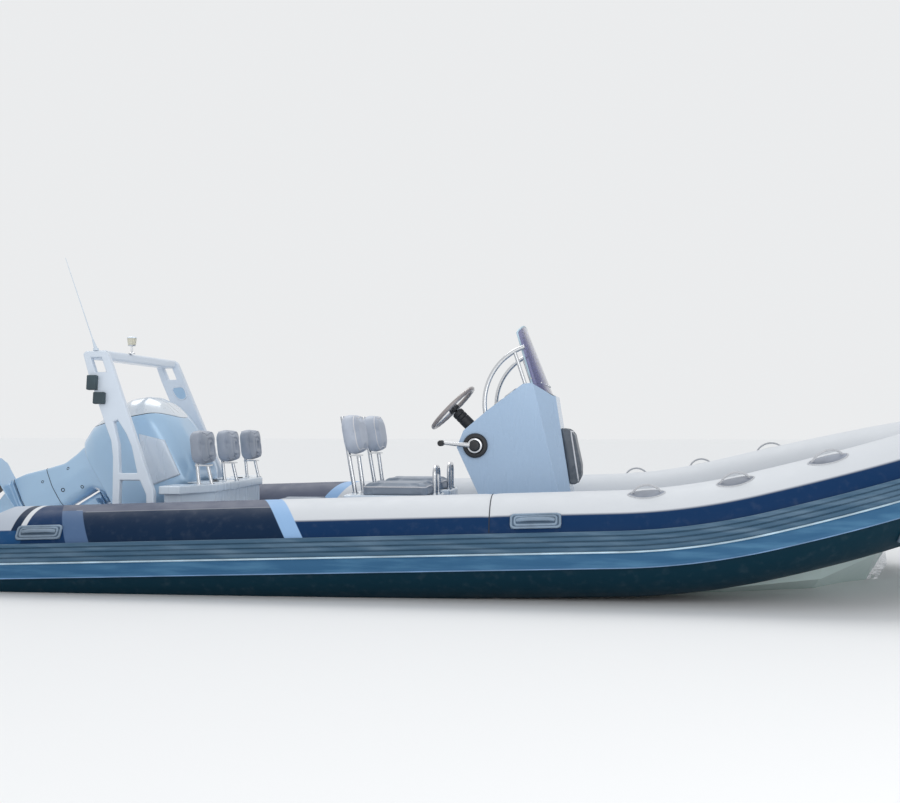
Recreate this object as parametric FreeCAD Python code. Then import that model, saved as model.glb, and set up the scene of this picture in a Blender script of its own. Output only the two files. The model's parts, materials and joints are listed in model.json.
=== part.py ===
import FreeCAD, Part
import math
import os

# Rigid inflatable boat, millimetres.
# +X is forward, +Y is to port, +Z is up. The origin lies on the centreline amidships,
# at the height of the water. The tubes and the deck float bow-up by the angle called rake.

V = FreeCAD.Vector
UP = V(0, 0, 1)
AHEAD = V(1, 0, 0)
TO_PORT = V(0, 1, 0)
ORIGIN = V(0, 0, 0)
STARBOARD, PORT = -1, 1

# Clearances
seat_gap = 0.3
shaft_gap = 0.1
running_gap = 6.0

# Collar: two parallel tubes that rise and close at the bow
tube_radius = 265.0
half_spacing = 949.0
rake = 2.04
collar_height = 253.0
tail_start_x = -2450.0
tail_length = 410.0
tail_end_radius = 120.0
seam_x = 150.0
sheer_start_x = 766.0
sheer_radius = 3500.0
sheer_angle = 11.8
bow_radius_side = 1350.0
bow_angle_side = 38.0

# Rubbing strakes, as angles above the widest line of the tube
ribbed_top = 18.3
ribbed_bottom = -1.7
band_bottom = -20.0
strake_base = 9.0
rib_height = 12.0
rib_count = 4
rib_share = 0.72
band_thickness = 8.0
band_lip = 14.0
band_lip_angle = 1.6

# Hull and deck, heights measured in the collar's own frame
deck_depth = 120.0
deck_thickness = 10.0
deck_edge_inset = 149.0
transom_x = -2370.0
transom_thickness = 55.0
transom_notch_half = 400.0
transom_edge_inset = 259.0
transom_top = 270.0
transom_side_top = 330.0
stem_plate = 16.0
stem_eye_radius = 13.0
stem_eye_reach = 24.0
stem_eye_rim = 11.0
STEM_LOW = (2108.0, 0.0, -403.0)
STEM_HIGH = (2268.0, 0.0, -168.0)
STEM_EYES = (0.25, 0.42)
bollard_x = 2020.0

# Grab loops and carrying handles
loop_span = 165.0
loop_rise = 44.0
loop_cord = 7.0
loop_lean = 20.0
handle_depth = 34.0
handle_angle = 31.5
bow_handle_turn = 26.0
bow_handle_angle = -46.0

# Arch frame at the stern
frame_half_width = 615.0
frame_top_half_width = 512.0
frame_panel = 44.0
frame_top_z = 1306.0
crossbar_height = 55.0
crossbar_depth = 105.0
crossbar_back_x = -2252.0

# Outboard motor, kept tilted up
pivot_x = -2320.0
pivot_z = 302.0
stow_tilt = 59.0
steer_u = -150.0
bracket_half = 118.0
bracket_plate = 16.0
tilt_tube_radius = 16.0
tilt_sleeve_radius = 25.0
cavitation_w = -530.0
propeller_w = -715.0
propeller_radius = 172.0
hub_radius = 55.0
blade_count = 3
propeller_shaft_radius = 11.0

# Helm
console_half_width = 360.0
console_wall = 10.0
nose_half_width = 250.0
wheel_diameter = 355.0
wheel_rim_radius = 14.0
wheel_x = -199.0
wheel_z = 975.0
wheel_tilt = 45.0

# Seats
pod_half_spacing = 280.0
pod_half_width = 175.0
back_spacing = 430.0
rail_radius = 12.5


def box(x0, x1, y0, y1, z0, z1):
    return Part.makeBox(x1 - x0, y1 - y0, z1 - z0, V(x0, y0, z0))


def rod(a, b, radius):
    a, b = V(a), V(b)
    return Part.makeCylinder(radius, (b - a).Length, a, b - a)


def side_plate(points, y0, y1):
    """A flat piece cut to an outline given as (x, z) and as thick as y0 to y1."""
    wire = Part.makePolygon([V(x, y0, z) for x, z in points] + [V(points[0][0], y0, points[0][1])])
    return Part.Face(wire).extrude(V(0, y1 - y0, 0))


def plan_plate(points, z0, z1):
    """A flat piece cut to an outline given as (x, y) and as tall as z0 to z1."""
    wire = Part.makePolygon([V(x, y, z0) for x, y in points] + [V(points[0][0], points[0][1], z0)])
    return Part.Face(wire).extrude(V(0, 0, z1 - z0))


def mirrored(shape):
    return shape.mirror(ORIGIN, TO_PORT)


def both_sides(shape):
    return [shape, mirrored(shape)]


def fused(shapes):
    whole = shapes[0]
    for shape in shapes[1:]:
        whole = whole.fuse(shape)
    return whole.removeSplitter()


def bent_rod(points, radius, bend):
    """A tube through the points, with round bends of one radius at the inner ones."""
    points = [V(*p) for p in points]
    edges = []
    start = points[0]
    for before, corner, after in zip(points, points[1:], points[2:]):
        arriving = (corner - before).normalize()
        leaving = (after - corner).normalize()
        turn = arriving.getAngle(leaving)
        back = bend * math.tan(turn / 2)
        a = corner - arriving * back
        b = corner + leaving * back
        inward = (leaving - arriving).normalize()
        middle = corner + inward * (bend / math.cos(turn / 2) - bend)
        edges.append(Part.LineSegment(start, a).toShape())
        edges.append(Part.Arc(a, middle, b).toShape())
        start = b
    edges.append(Part.LineSegment(start, points[-1]).toShape())
    path = Part.Wire(edges)
    direction = (points[1] - points[0]).normalize()
    ring = Part.Wire(Part.makeCircle(radius, points[0], direction))
    return path.makePipeShell([ring], True, True)


# The collar is drawn level about its own axis height, then raked and lifted
def raked(shape):
    shape = shape.copy()
    shape.rotate(ORIGIN, TO_PORT, -rake)
    shape.translate(V(0, 0, collar_height))
    return shape


sheer = math.radians(sheer_angle)
bow_side = math.radians(bow_angle_side)
bow_radius_nose = (half_spacing - bow_radius_side * (1 - math.cos(bow_side))) / math.cos(bow_side)
sheer_end = V(sheer_start_x + sheer_radius * math.sin(sheer), 0, sheer_radius * (1 - math.cos(sheer)))
ramp = V(math.cos(sheer), 0, math.sin(sheer))
ramp_up = V(-math.sin(sheer), 0, math.cos(sheer))
bow_length = bow_radius_side * math.sin(bow_side) + bow_radius_nose * (1 - math.sin(bow_side))
bow_tip = sheer_end + ramp * bow_length


def axis_rise(x):
    """Height of the collar's axis above its straight part, in the collar's frame."""
    if x <= sheer_start_x:
        return 0.0
    if x <= sheer_end.x:
        return sheer_radius - math.sqrt(sheer_radius ** 2 - (x - sheer_start_x) ** 2)
    return sheer_end.z + (x - sheer_end.x) * math.tan(sheer)


def deck_level(x):
    """Height of the deck's top above the water."""
    return collar_height + x * math.tan(math.radians(rake)) + axis_rise(x) - deck_depth + deck_thickness


def swept(section, x0, x1):
    """A section drawn at x = 0 across the collar, carried along the straight part."""
    piece = section.copy()
    piece.translate(V(x0, 0, 0))
    return piece.extrude(V(x1 - x0, 0, 0))


def swept_sheer(section):
    piece = section.copy()
    piece.translate(V(sheer_start_x, 0, 0))
    return piece.revolve(V(sheer_start_x, 0, sheer_radius), V(0, -1, 0), sheer_angle)


def swept_bow(section):
    """The same section carried round the starboard half of the bow, on the sheer's slope."""
    piece = section.copy()
    piece.rotate(ORIGIN, TO_PORT, -sheer_angle)
    piece.translate(sheer_end)
    hub_side = sheer_end + V(0, -half_spacing + bow_radius_side, 0)
    first = piece.revolve(hub_side, ramp_up, bow_angle_side)
    turned = piece.copy()
    turned.rotate(hub_side, ramp_up, bow_angle_side)
    reach = bow_radius_side - bow_radius_nose
    hub_nose = hub_side + ramp * (reach * math.sin(bow_side)) - TO_PORT * (reach * math.cos(bow_side))
    second = turned.revolve(hub_nose, ramp_up, 90 - bow_angle_side)
    return first, second


def ring_section(radius):
    """Disc across the starboard tube."""
    return Part.Face(Part.Wire(Part.makeCircle(radius, V(0, -half_spacing, 0), AHEAD)))


def polar(radius, angle):
    a = math.radians(angle)
    return V(0, -half_spacing - radius * math.cos(a), radius * math.sin(a))


def arc_edge(radius, a0, a1):
    return Part.Arc(polar(radius, a0), polar(radius, (a0 + a1) / 2), polar(radius, a1)).toShape()


def line_edges(points):
    return [Part.LineSegment(a, b).toShape() for a, b in zip(points, points[1:])]


def ribbed_section():
    inner = tube_radius + seat_gap
    low = inner + strake_base
    high = low + rib_height
    pitch = (ribbed_top - ribbed_bottom) / rib_count
    points = [polar(inner, ribbed_top), polar(low, ribbed_top)]
    for k in range(rib_count):
        top = ribbed_top - k * pitch
        slack = pitch * (1 - rib_share) / 2
        points += [polar(low, top - slack * 0.4), polar(high, top - slack * 1.6)]
        points += [polar(high, top - pitch + slack * 1.6), polar(low, top - pitch + slack * 0.4)]
    points += [polar(low, ribbed_bottom), polar(inner, ribbed_bottom)]
    edges = line_edges(points) + [arc_edge(inner, ribbed_bottom, ribbed_top)]
    return Part.Face(Part.Wire(edges))


def band_section():
    inner = tube_radius + seat_gap
    top = ribbed_bottom - 0.1
    lip = band_bottom + band_lip_angle
    points = [polar(inner, top), polar(inner + band_lip, top), polar(inner + band_lip, top - band_lip_angle),
              polar(inner + band_thickness, top - 2 * band_lip_angle)]
    lower = [polar(inner + band_thickness, lip + band_lip_angle), polar(inner + band_lip, lip),
             polar(inner + band_lip, band_bottom), polar(inner, band_bottom)]
    edges = line_edges(points)
    edges += [arc_edge(inner + band_thickness, top - 2 * band_lip_angle, lip + band_lip_angle)]
    edges += line_edges(lower) + [arc_edge(inner, band_bottom, top)]
    return Part.Face(Part.Wire(edges))


def tail_cone():
    cone = Part.makeCone(tail_end_radius, tube_radius, tail_length,
                         V(tail_start_x - tail_length, -half_spacing, 0), AHEAD)
    dome = Part.makeSphere(tail_end_radius, V(tail_start_x - tail_length, -half_spacing, 0))
    behind = box(tail_start_x - tail_length - 400, tail_start_x - tail_length, -half_spacing - 400,
                 -half_spacing + 400, -400, 400)
    return cone.fuse(dome.common(behind)).removeSplitter()


def collar_parts():
    disc = ring_section(tube_radius)
    aft = fused([tail_cone(), swept(disc, tail_start_x, seam_x)])
    fore = fused([swept(disc, seam_x, sheer_start_x), swept_sheer(disc)])
    first, second = swept_bow(disc)
    bow = fused([first, second, mirrored(second), mirrored(first)])
    return aft, fore, bow


def collar_cutter(extra):
    """The collar a little thicker, for seating what touches it."""
    disc = ring_section(tube_radius + extra)
    side = [swept(disc, tail_start_x, sheer_start_x), swept_sheer(disc)] + list(swept_bow(disc))
    return side + [mirrored(piece) for piece in side]


def strake_parts(section):
    side = fused([swept(section, tail_start_x, sheer_start_x), swept_sheer(section)])
    first, second = swept_bow(section)
    bow = fused([first, second, mirrored(second), mirrored(first)])
    return side, bow


# Hull sections in the collar's frame, half widths as shares of half_spacing
# x, keel z, chine half width, chine z, flat width of the chine, top half width
HULL_SECTIONS = [
    (transom_x, -540, 0.843, -262, 60, 0.832),
    (600, -540, 0.843, -268, 60, 0.843),
    (1300, -520, 0.827, -256, 55, 0.843),
    (1800, -482, 0.664, -238, 45, 0.811),
    (2150, -345, 0.348, -150, 30, 0.674),
    (2280, -150, 0.126, -30, 20, 0.548),
    (2400, 75, 0.042, 115, 10, 0.348),
]
chine_drop = 6.0
trim_height = 14.0


def hull_solid():
    wires = []
    for x, keel, chine_share, chine_z, chine_flat, top_share in HULL_SECTIONS:
        top = axis_rise(x) - deck_depth + trim_height
        chine_y, top_y = half_spacing * chine_share, half_spacing * top_share
        side = [V(x, -chine_y + chine_flat, chine_z - chine_drop), V(x, -chine_y, chine_z), V(x, -top_y, top)]
        points = [V(x, 0, keel)] + side + [V(p.x, -p.y, p.z) for p in reversed(side)]
        wires.append(Part.makePolygon(points + points[:1]))
    hull = Part.makeLoft(wires, True, True)
    for above in deck_sweep(-deck_depth, 400.0, 1400.0):
        hull = hull.cut(above)
    for tube in collar_cutter(seat_gap):
        hull = hull.cut(tube)
    pieces = sorted(hull.Solids, key=lambda s: s.Volume)
    return pieces[-1]


def deck_outline():
    """Plan of the deck, running into the tubes all round."""
    deck_half_width = half_spacing - deck_edge_inset
    points = [(transom_x + transom_thickness + 1, deck_half_width), (sheer_end.x, deck_half_width)]
    for share in (0.3, 0.55, 0.75, 0.9, 1.0):
        x = sheer_end.x + (bow_tip.x - sheer_end.x) * share
        points.append((x, half_spacing * math.sqrt(max(0.0, 1 - share ** 2.2)) * 0.84))
    return points[:-1] + [(bow_tip.x - tube_radius, 0)] + [(x, -y) for x, y in reversed(points[:-1])]


def deck_sweep(z0, z1, half):
    """A layer between two heights off the collar's axis, which follows the sheer, in three lengths."""
    corners = [(-half, z0), (half, z0), (half, z1), (-half, z1), (-half, z0)]
    section = Part.Face(Part.makePolygon([V(0, y, z) for y, z in corners]))
    flat = swept(section, transom_x - 800, sheer_start_x)
    tilted = section.copy()
    tilted.rotate(ORIGIN, TO_PORT, -sheer_angle)
    tilted.translate(sheer_end)
    return [flat, swept_sheer(section), tilted.extrude(ramp * (bow_length + 400))]


def deck_plate():
    deck = fused(deck_sweep(-deck_depth, -deck_depth + deck_thickness, half_spacing - deck_edge_inset))
    deck = deck.common(plan_plate(deck_outline(), -600, 900))
    for tube in collar_cutter(seat_gap):
        deck = deck.cut(tube)
    return sorted(deck.Solids, key=lambda s: s.Volume)[-1]


def below_deck():
    """Everything under the deck's top, for trimming what stands on it."""
    return [raked(layer) for layer in deck_sweep(-900.0, -deck_depth + deck_thickness, 1400.0)]


def on_deck(shape):
    for under in below_deck():
        shape = shape.cut(under)
    return shape


def transom_plate():
    """Board across the stern, cut low in the middle for the motor."""
    transom_half_width = half_spacing - transom_edge_inset
    outline = [(-transom_half_width, transom_side_top), (-transom_notch_half - 60, transom_side_top),
               (-transom_notch_half, transom_top), (transom_notch_half, transom_top),
               (transom_notch_half + 60, transom_side_top), (transom_half_width, transom_side_top),
               (transom_half_width, 40), (0, 40), (-transom_half_width, 40)]
    wire = Part.makePolygon([V(transom_x, y, z) for y, z in outline] + [V(transom_x, *outline[0])])
    board = Part.Face(wire).extrude(V(transom_thickness, 0, 0))
    board = board.cut(box(transom_x - 10, transom_x + 100, -900, 900, -400, deck_level(transom_x)))
    for tube in collar_cutter(seat_gap):
        board = board.cut(raked(tube))
    return sorted(board.Solids, key=lambda s: s.Volume)[-1]


def handle_body(angle, length, height, sunk):
    """Moulded carrying handle at x = 0 on the starboard tube, its back sunk into the tube."""
    body = box(-length / 2, length / 2, -handle_depth, sunk, -height / 2, height / 2)
    body = body.makeFillet(height * 0.42, [e for e in body.Edges if abs(e.tangentAt(e.FirstParameter).y) > 0.9])
    grip = box(-length / 2 + 38, length / 2 - 38, -handle_depth - 1, -12, -height / 2 + 16, height / 2 - 30)
    body = body.cut(grip)
    body.translate(V(0, -half_spacing - tube_radius + 8, 0))
    body.rotate(V(0, -half_spacing, 0), AHEAD, -angle)
    return body


def bow_handle():
    body = handle_body(bow_handle_angle, 190.0, 74.0, 26.0)
    body.rotate(ORIGIN, TO_PORT, -sheer_angle)
    body.translate(sheer_end)
    body.rotate(sheer_end + V(0, -half_spacing + bow_radius_side, 0), ramp_up, bow_handle_turn)
    for tube in swept_bow(ring_section(tube_radius + seat_gap)):
        body = body.cut(tube)
    return sorted(body.Solids, key=lambda solid: solid.Volume)[-1]


def side_fittings():
    handles = both_sides(raked(bow_handle()))
    for x in (-2200.0, 378.0):
        body = handle_body(handle_angle, 252.0, 84.0, 0.0)
        body.translate(V(x, 0, 0))
        body = body.cut(swept(ring_section(tube_radius + seat_gap), x - 300, x + 300))
        handles += both_sides(raked(body))
    return Part.makeCompound(handles)


def bow_loop(x, side):
    """Grab loop of rope between two round patches, leaning outboard from the top of the tube."""
    slope = math.atan2(axis_rise(x + 20) - axis_rise(x - 20), 40)
    top = tube_radius + seat_gap
    past = max(0.0, x - sheer_end.x) / math.cos(sheer)
    heading = math.degrees(math.asin(past / bow_radius_side))
    inward = bow_radius_side * (1 - math.cos(math.radians(heading)))
    half, sunk = loop_span / 2, 12.0
    ends = [V(-half, 0, top - sunk), V(half, 0, top - sunk)]
    arch = Part.Arc(ends[0], V(0, 0, top + loop_rise), ends[1])
    start = arch.tangent(arch.FirstParameter)[0]
    ring = Part.Wire(Part.makeCircle(loop_cord, ends[0], V(*start)))
    pieces = [Part.Wire(arch.toShape()).makePipeShell([ring], True, True)]
    for end in ends:
        pieces.append(Part.makeCone(34, 20, 20, end, UP))
    solid = fused(pieces)
    solid.rotate(ORIGIN, AHEAD, -side * loop_lean)
    solid.rotate(ORIGIN, UP, -side * heading)
    solid.rotate(ORIGIN, TO_PORT, -math.degrees(slope))
    solid.translate(V(x, side * (half_spacing - inward), axis_rise(x)))
    for tube in collar_cutter(seat_gap):
        solid = solid.cut(tube)
    return raked(sorted(solid.Solids, key=lambda piece: piece.Volume)[-1])


def stem_fitting():
    """Plate on the stem with two eyes for the painter and the winch."""
    low, high = V(*STEM_LOW), V(*STEM_HIGH)
    along = (high - low).normalize()
    out = V(along.z, 0, -along.x)
    reach = stem_eye_reach + stem_eye_radius + stem_eye_rim
    corners = [low - out * 60, low, low + along * 30 + out * reach, high - along * 60 + out * reach, high,
               high - out * 60]
    plate = side_plate([(p.x, p.z) for p in corners], -stem_plate / 2, stem_plate / 2)
    for share in STEM_EYES:
        centre = low + (high - low) * share + out * stem_eye_reach
        plate = plate.cut(rod(centre - TO_PORT * stem_plate, centre + TO_PORT * stem_plate, stem_eye_radius))
    plate = plate.cut(hull_solid())
    return raked(sorted(plate.Solids, key=lambda solid: solid.Volume)[-1])


def deck_bollard():
    """Post with a cross pin on the foredeck."""
    foot = V(bollard_x, 0, axis_rise(bollard_x)) + ramp_up * (deck_thickness - deck_depth)
    base = Part.makeCylinder(48, 8, foot, ramp_up)
    post = Part.makeCylinder(24, 125, foot, ramp_up)
    head = Part.makeCylinder(30, 12, foot + ramp_up * 118, ramp_up)
    pin_at = foot + ramp_up * 85
    pin = rod(pin_at - TO_PORT * 70, pin_at + TO_PORT * 70, 9)
    return raked(fused([base, post, head, pin]))


# Arch frame outline as (x, z), water level frame
FRAME_OUTLINE = [(-2292, 1290), (-2274, 1306), (-2154, 1306), (-2138, 1292), (-1820, 492), (-1796, 60), (-1846, 60),
                 (-1866, 476), (-1908, 558), (-2026, 558), (-2022, 60), (-2064, 60), (-2066, 440), (-2076, 690),
                 (-2092, 785), (-2135, 883), (-2253, 1172)]
FRAME_SLOT = [(-2031, 600), (-1925, 600), (-1966, 749), (-2003, 825), (-2060, 905), (-2083, 892), (-2046, 765)]
FRAME_WINDOW = [(-2242, 1268), (-2178, 1268), (-2144, 1182), (-2208, 1182)]


def leant(shape, side):
    """Lean one side of the arch inwards about its foot."""
    foot_z = 300.0
    lean = math.degrees(math.atan2(frame_half_width - frame_top_half_width, frame_top_z - foot_z))
    shape = shape.copy()
    shape.rotate(V(0, side * frame_half_width, foot_z), AHEAD, side * lean)
    return shape


def frame_side(side):
    y0 = side * (frame_half_width - frame_panel / 2)
    y1 = side * (frame_half_width + frame_panel / 2)
    y0, y1 = min(y0, y1), max(y0, y1)
    panel = side_plate(FRAME_OUTLINE, y0, y1)
    for hole in (FRAME_SLOT, FRAME_WINDOW):
        panel = panel.cut(side_plate(hole, y0 - 1, y1 + 1))
    return on_deck(leant(panel, side))


def frame_crossbar():
    half = frame_top_half_width
    bar = box(crossbar_back_x, crossbar_back_x + crossbar_depth, -half, half, frame_top_z - crossbar_height,
              frame_top_z)
    bar = bar.makeFillet(18, [e for e in bar.Edges if abs(e.tangentAt(e.FirstParameter).y) > 0.9])
    bar = bar.cut(frame_side(STARBOARD)).cut(frame_side(PORT))
    return sorted(bar.Solids, key=lambda solid: solid.Volume)[-1]


def mast_light():
    x, y = -2150.0, -184.0
    stem = rod((x, y, frame_top_z), (x, y, frame_top_z + 48), 6)
    foot = rod((x, y, frame_top_z), (x, y, frame_top_z + 8), 20)
    lamp = Part.makeCone(24, 29, 46, V(x, y, frame_top_z + 48), UP)
    cap = rod((x, y, frame_top_z + 94), (x, y, frame_top_z + 100), 30)
    return fused([stem, foot, lamp, cap])


def antenna():
    base = V(-2222, -frame_top_half_width, frame_top_z)
    lean = V(-0.36, 0, 1).normalize()
    foot = rod(base, base + UP * 14, 16)
    ferrule = Part.makeCone(11, 5, 60, base + UP * 8, lean)
    whip = Part.makeCone(3.2, 1.6, 520, base + UP * 8 + lean * 50, lean)
    return fused([foot, ferrule, whip])


def frame_boxes():
    """Two sealed boxes on the outer face of the starboard side of the arch."""
    outer = -(frame_half_width + frame_panel / 2)
    boxes = [box(-2244, -2186, outer - 34, outer - seat_gap, 1075, 1160),
             box(-2202, -2134, outer - 30, outer - seat_gap, 994, 1062)]
    boxes = [piece.makeFillet(6, piece.Edges) for piece in boxes]
    return leant(Part.makeCompound(boxes), STARBOARD)


# Moulded unit behind the stern seat
aft_unit_top = 532.0
aft_unit_lip = 486.0
unit_front_x = -1520.0
unit_front_half = 430.0
unit_wing_x = -1640.0
unit_back_x = -1760.0
unit_well_x = -1675.0
unit_well_half = 455.0
unit_overhang = 16.0
unit_lip_reach = 14.0


def unit_outline(inset):
    """Plan of the unit, or of the core under its lip when inset is the lip's reach."""
    side = half_spacing - tube_radius + unit_overhang - 3 * inset
    back = unit_back_x + inset
    half = [(unit_front_x - inset, unit_front_half - inset), (unit_wing_x - inset, side - 10), (back + 15, side),
            (back, side - 10), (back, unit_well_half + 25 + inset), (unit_well_x, unit_well_half + inset)]
    return half + [(x, -y) for x, y in reversed(half)]


def aft_unit():
    lip = plan_plate(unit_outline(0.0), aft_unit_lip, aft_unit_top)
    core = plan_plate(unit_outline(unit_lip_reach), 20, aft_unit_lip)
    return on_deck(fused([lip, core]))


# Stern seat: locker with a hinged lid
seat_front_x = -1110.0
seat_back_x = -1519.0
seat_hinge_x = -1440.0
seat_base_top = 300.0
seat_side_gap = 44.0
seat_half_width = half_spacing - tube_radius - seat_side_gap
seat_wall = 25.0
lid_thickness = 20.0
seat_cushion_top = 385.0


def stern_seat_base():
    shell = box(seat_back_x, seat_front_x, -seat_half_width, seat_half_width, 20, seat_base_top)
    well = box(seat_hinge_x + seat_wall, seat_front_x - seat_wall, -seat_half_width + seat_wall,
               seat_half_width - seat_wall, deck_level(seat_hinge_x) + 12, seat_base_top + 1)
    return on_deck(shell).cut(well)


def stern_seat_lid():
    z0 = seat_base_top + seat_gap
    lid = box(seat_hinge_x, seat_front_x + 6, -seat_half_width, seat_half_width, z0, z0 + lid_thickness)
    return lid


def stern_seat_cushion():
    z0 = seat_base_top + 2 * seat_gap + lid_thickness
    pad = box(seat_hinge_x + 5, seat_front_x + 2, -seat_half_width + 5, seat_half_width - 5, z0, seat_cushion_top)
    return pad.makeFillet(18, [e for e in pad.Edges if e.BoundBox.ZMin > z0 + 1])


def leaning_pad(x, y, z, height, thickness, width, lean, rounding):
    """Backrest pad centred on a point, its top leaning aft."""
    pad = box(-thickness / 2, thickness / 2, -width / 2, width / 2, -height / 2, height / 2)
    pad = pad.makeFillet(rounding * 2, [e for e in pad.Edges if abs(e.tangentAt(e.FirstParameter).x) > 0.9])
    pad = pad.makeFillet(rounding * 0.8, pad.Edges)
    pad.rotate(ORIGIN, TO_PORT, -lean)
    pad.translate(V(x, y, z))
    return pad


# Backrests: x, z of the pad's middle, height, thickness, width, lean aft, rounding
STERN_PAD = (-1600.0, 745.0, 190.0, 72.0, 250.0, 6.0, 28.0)
JOCKEY_PAD = (-735.0, 820.0, 224.0, 88.0, 300.0, 10.0, 40.0)
backrest_plate = 8.0


def backrest(pad, y):
    x, z, height, thickness, width, lean, rounding = pad
    return leaning_pad(x, y, z, height, thickness, width, lean, rounding)


def backrest_frame(pad, y, foot_z, radius, front_foot, front_head):
    """Two struts and a plate under one pad; the rear strut runs up the pad's back."""
    x, z, height, thickness, width, lean, rounding = pad
    slope = math.tan(math.radians(lean))
    behind = (thickness / 2 + seat_gap + radius) / math.cos(math.radians(lean))
    head_z = z + height * 0.46
    foot_x = x - behind + (z - foot_z) * slope
    head_x = x - behind - (head_z - z) * slope
    rear = rod((foot_x + slope * 5, y, foot_z - 5), (head_x, y, head_z), radius)
    plate_z = backrest(pad, y).BoundBox.ZMin - seat_gap - backrest_plate
    front = rod((front_foot, y, foot_z - 5), (front_head, y, plate_z + backrest_plate / 2), radius)
    plate_back = x - behind + (z - plate_z) * slope
    plate = box(plate_back, front_head + radius + 8, y - 36, y + 36, plate_z, plate_z + backrest_plate)
    feet = [Part.makeCylinder(radius * 1.5, 6, V(a, y, foot_z)) for a in (foot_x, front_foot)]
    frame = fused([rear, front, plate] + feet)
    return frame.cut(box(foot_x - 90, front_foot + 90, y - 60, y + 60, foot_z - 100, foot_z))


# Jockey seats
pod_top = 478.0
pod_back_x = -765.0
pod_front_x = -232.0


def jockey_pod(y):
    low, high = 150.0, pod_half_width
    wires = []
    for z, half, shrink in ((20, low, 18), (380, low, 18), (420, high, 0), (pod_top, high, 0)):
        points = [V(pod_back_x + shrink, y - half, z), V(pod_front_x - shrink, y - half, z),
                  V(pod_front_x - shrink, y + half, z), V(pod_back_x + shrink, y + half, z)]
        wires.append(Part.makePolygon(points + points[:1]))
    return on_deck(Part.makeLoft(wires, True, True))


def jockey_cushion(y):
    z0 = pod_top + seat_gap
    pad = box(-662, -278, y - pod_half_width + 8, y + pod_half_width - 8, z0, 535)
    pad = pad.makeFillet(40, [e for e in pad.Edges if abs(e.tangentAt(e.FirstParameter).z) > 0.9])
    return pad.makeFillet(16, [e for e in pad.Edges if e.BoundBox.ZMin > z0 + 1])


def grab_rail(y):
    x, half, top = -255.0, 70.0, 631.0
    rail = bent_rod([(x, y - half, pod_top), (x, y - half, top), (x, y + half, top), (x, y + half, pod_top)],
                    rail_radius, 45.0)
    feet = [Part.makeCylinder(21, 6, V(x, y + k * half, pod_top)) for k in (-1, 1)]
    return fused([rail] + feet)


# Console outline as (x, z); its front is set by two raked lines
CONSOLE_SIDE = [(20, 30), (20, 430), (-127, 746), (-89, 842), (49, 958), (248, 1105), (296, 1111), (412, 1040),
                (700, 1040), (700, 30)]
console_base_z = 30.0
console_peak_z = 1130.0
shoulder_x_low, shoulder_x_high = 553.0, 300.0
nose_x_low, nose_x_high = 583.0, 413.0


def console_form(inset):
    """The console's outer form, or the form inside its wall when inset is the wall."""
    wires = []
    for z, shoulder, nose in ((console_base_z, shoulder_x_low, nose_x_low),
                              (console_peak_z, shoulder_x_high, nose_x_high)):
        a, b, c = -300.0, shoulder - inset * 0.5, nose - inset
        wide, narrow = console_half_width - inset, nose_half_width - inset * 0.5
        points = [V(a, -wide, z), V(b, -wide, z), V(c, -narrow, z), V(c, narrow, z), V(b, wide, z), V(a, wide, z)]
        wires.append(Part.makePolygon(points + points[:1]))
    block = Part.makeLoft(wires, True, True)
    outline = Part.Face(Part.makePolygon([V(x, 0, z) for x, z in CONSOLE_SIDE + CONSOLE_SIDE[:1]]))
    if inset:
        outline = outline.makeOffset2D(-inset, 0, False, False, True)
    prism = outline.extrude(V(0, 2 * console_half_width, 0))
    prism.translate(V(0, -console_half_width, 0))
    return block.common(prism)


def console():
    shell = console_form(0).cut(console_form(console_wall))
    inner = console_form(console_wall)
    lower = box(-400, 900, -console_half_width + console_wall, console_half_width - console_wall, 0, 200)
    shell = shell.cut(lower.common(console_foot(inner)))
    return sorted(on_deck(shell).Solids, key=lambda s: s.Volume)[-1]


def console_foot(inner):
    """Column under the inner form, so that the shell is open towards the deck."""
    base = inner.copy()
    base.translate(V(0, 0, -60))
    return base


dash_angle = math.degrees(math.atan2(1105 - 958, 248 - 49))


def on_dash(shape, along, y):
    """Stand a shape that points up on the upper dash, measured from its lower edge."""
    shape = shape.copy()
    shape.rotate(ORIGIN, TO_PORT, -dash_angle)
    a = math.radians(dash_angle)
    shape.translate(V(49 + along * math.cos(a), y, 958 + along * math.sin(a)))
    return shape


def dash_panel():
    plate = on_dash(box(12, 232, -250, 250, 0, 8), 0, 0)
    return plate


def gauges():
    pieces = []
    for along, y, radius in ((150, -150, 46), (150, -40, 46), (150, 60, 34), (150, 145, 34), (60, -150, 30)):
        pieces.append(on_dash(Part.makeCylinder(radius, 9, V(0, 0, 8.3)), along, y))
    return Part.makeCompound(pieces)


def windscreen():
    thickness = 8.0
    base = [(318, 300), (378, 235), (400, 110)]
    top = [(198, 290), (226, 215), (238, 100)]
    wires = []
    for z, half in ((1040.0, base), (1452.0, top)):
        outer = half + [(x, -y) for x, y in reversed(half)]
        inner = [(x - thickness, y * (1 - 0.012 * (abs(y) > 200))) for x, y in outer]
        points = [V(x, y, z) for x, y in outer + inner[::-1]]
        wires.append(Part.makePolygon(points + points[:1]))
    screen = Part.makeLoft(wires, True, True)
    limits = [(-330, 1000), (-330, 1398), (-292, 1412), (-200, 1446), (-80, 1452), (80, 1452), (200, 1446), (292, 1412),
              (330, 1398), (330, 1000)]
    window = Part.Face(Part.makePolygon([V(100, y, z) for y, z in limits + limits[:1]])).extrude(V(400, 0, 0))
    return screen.common(window).cut(console_form(0))


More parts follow.
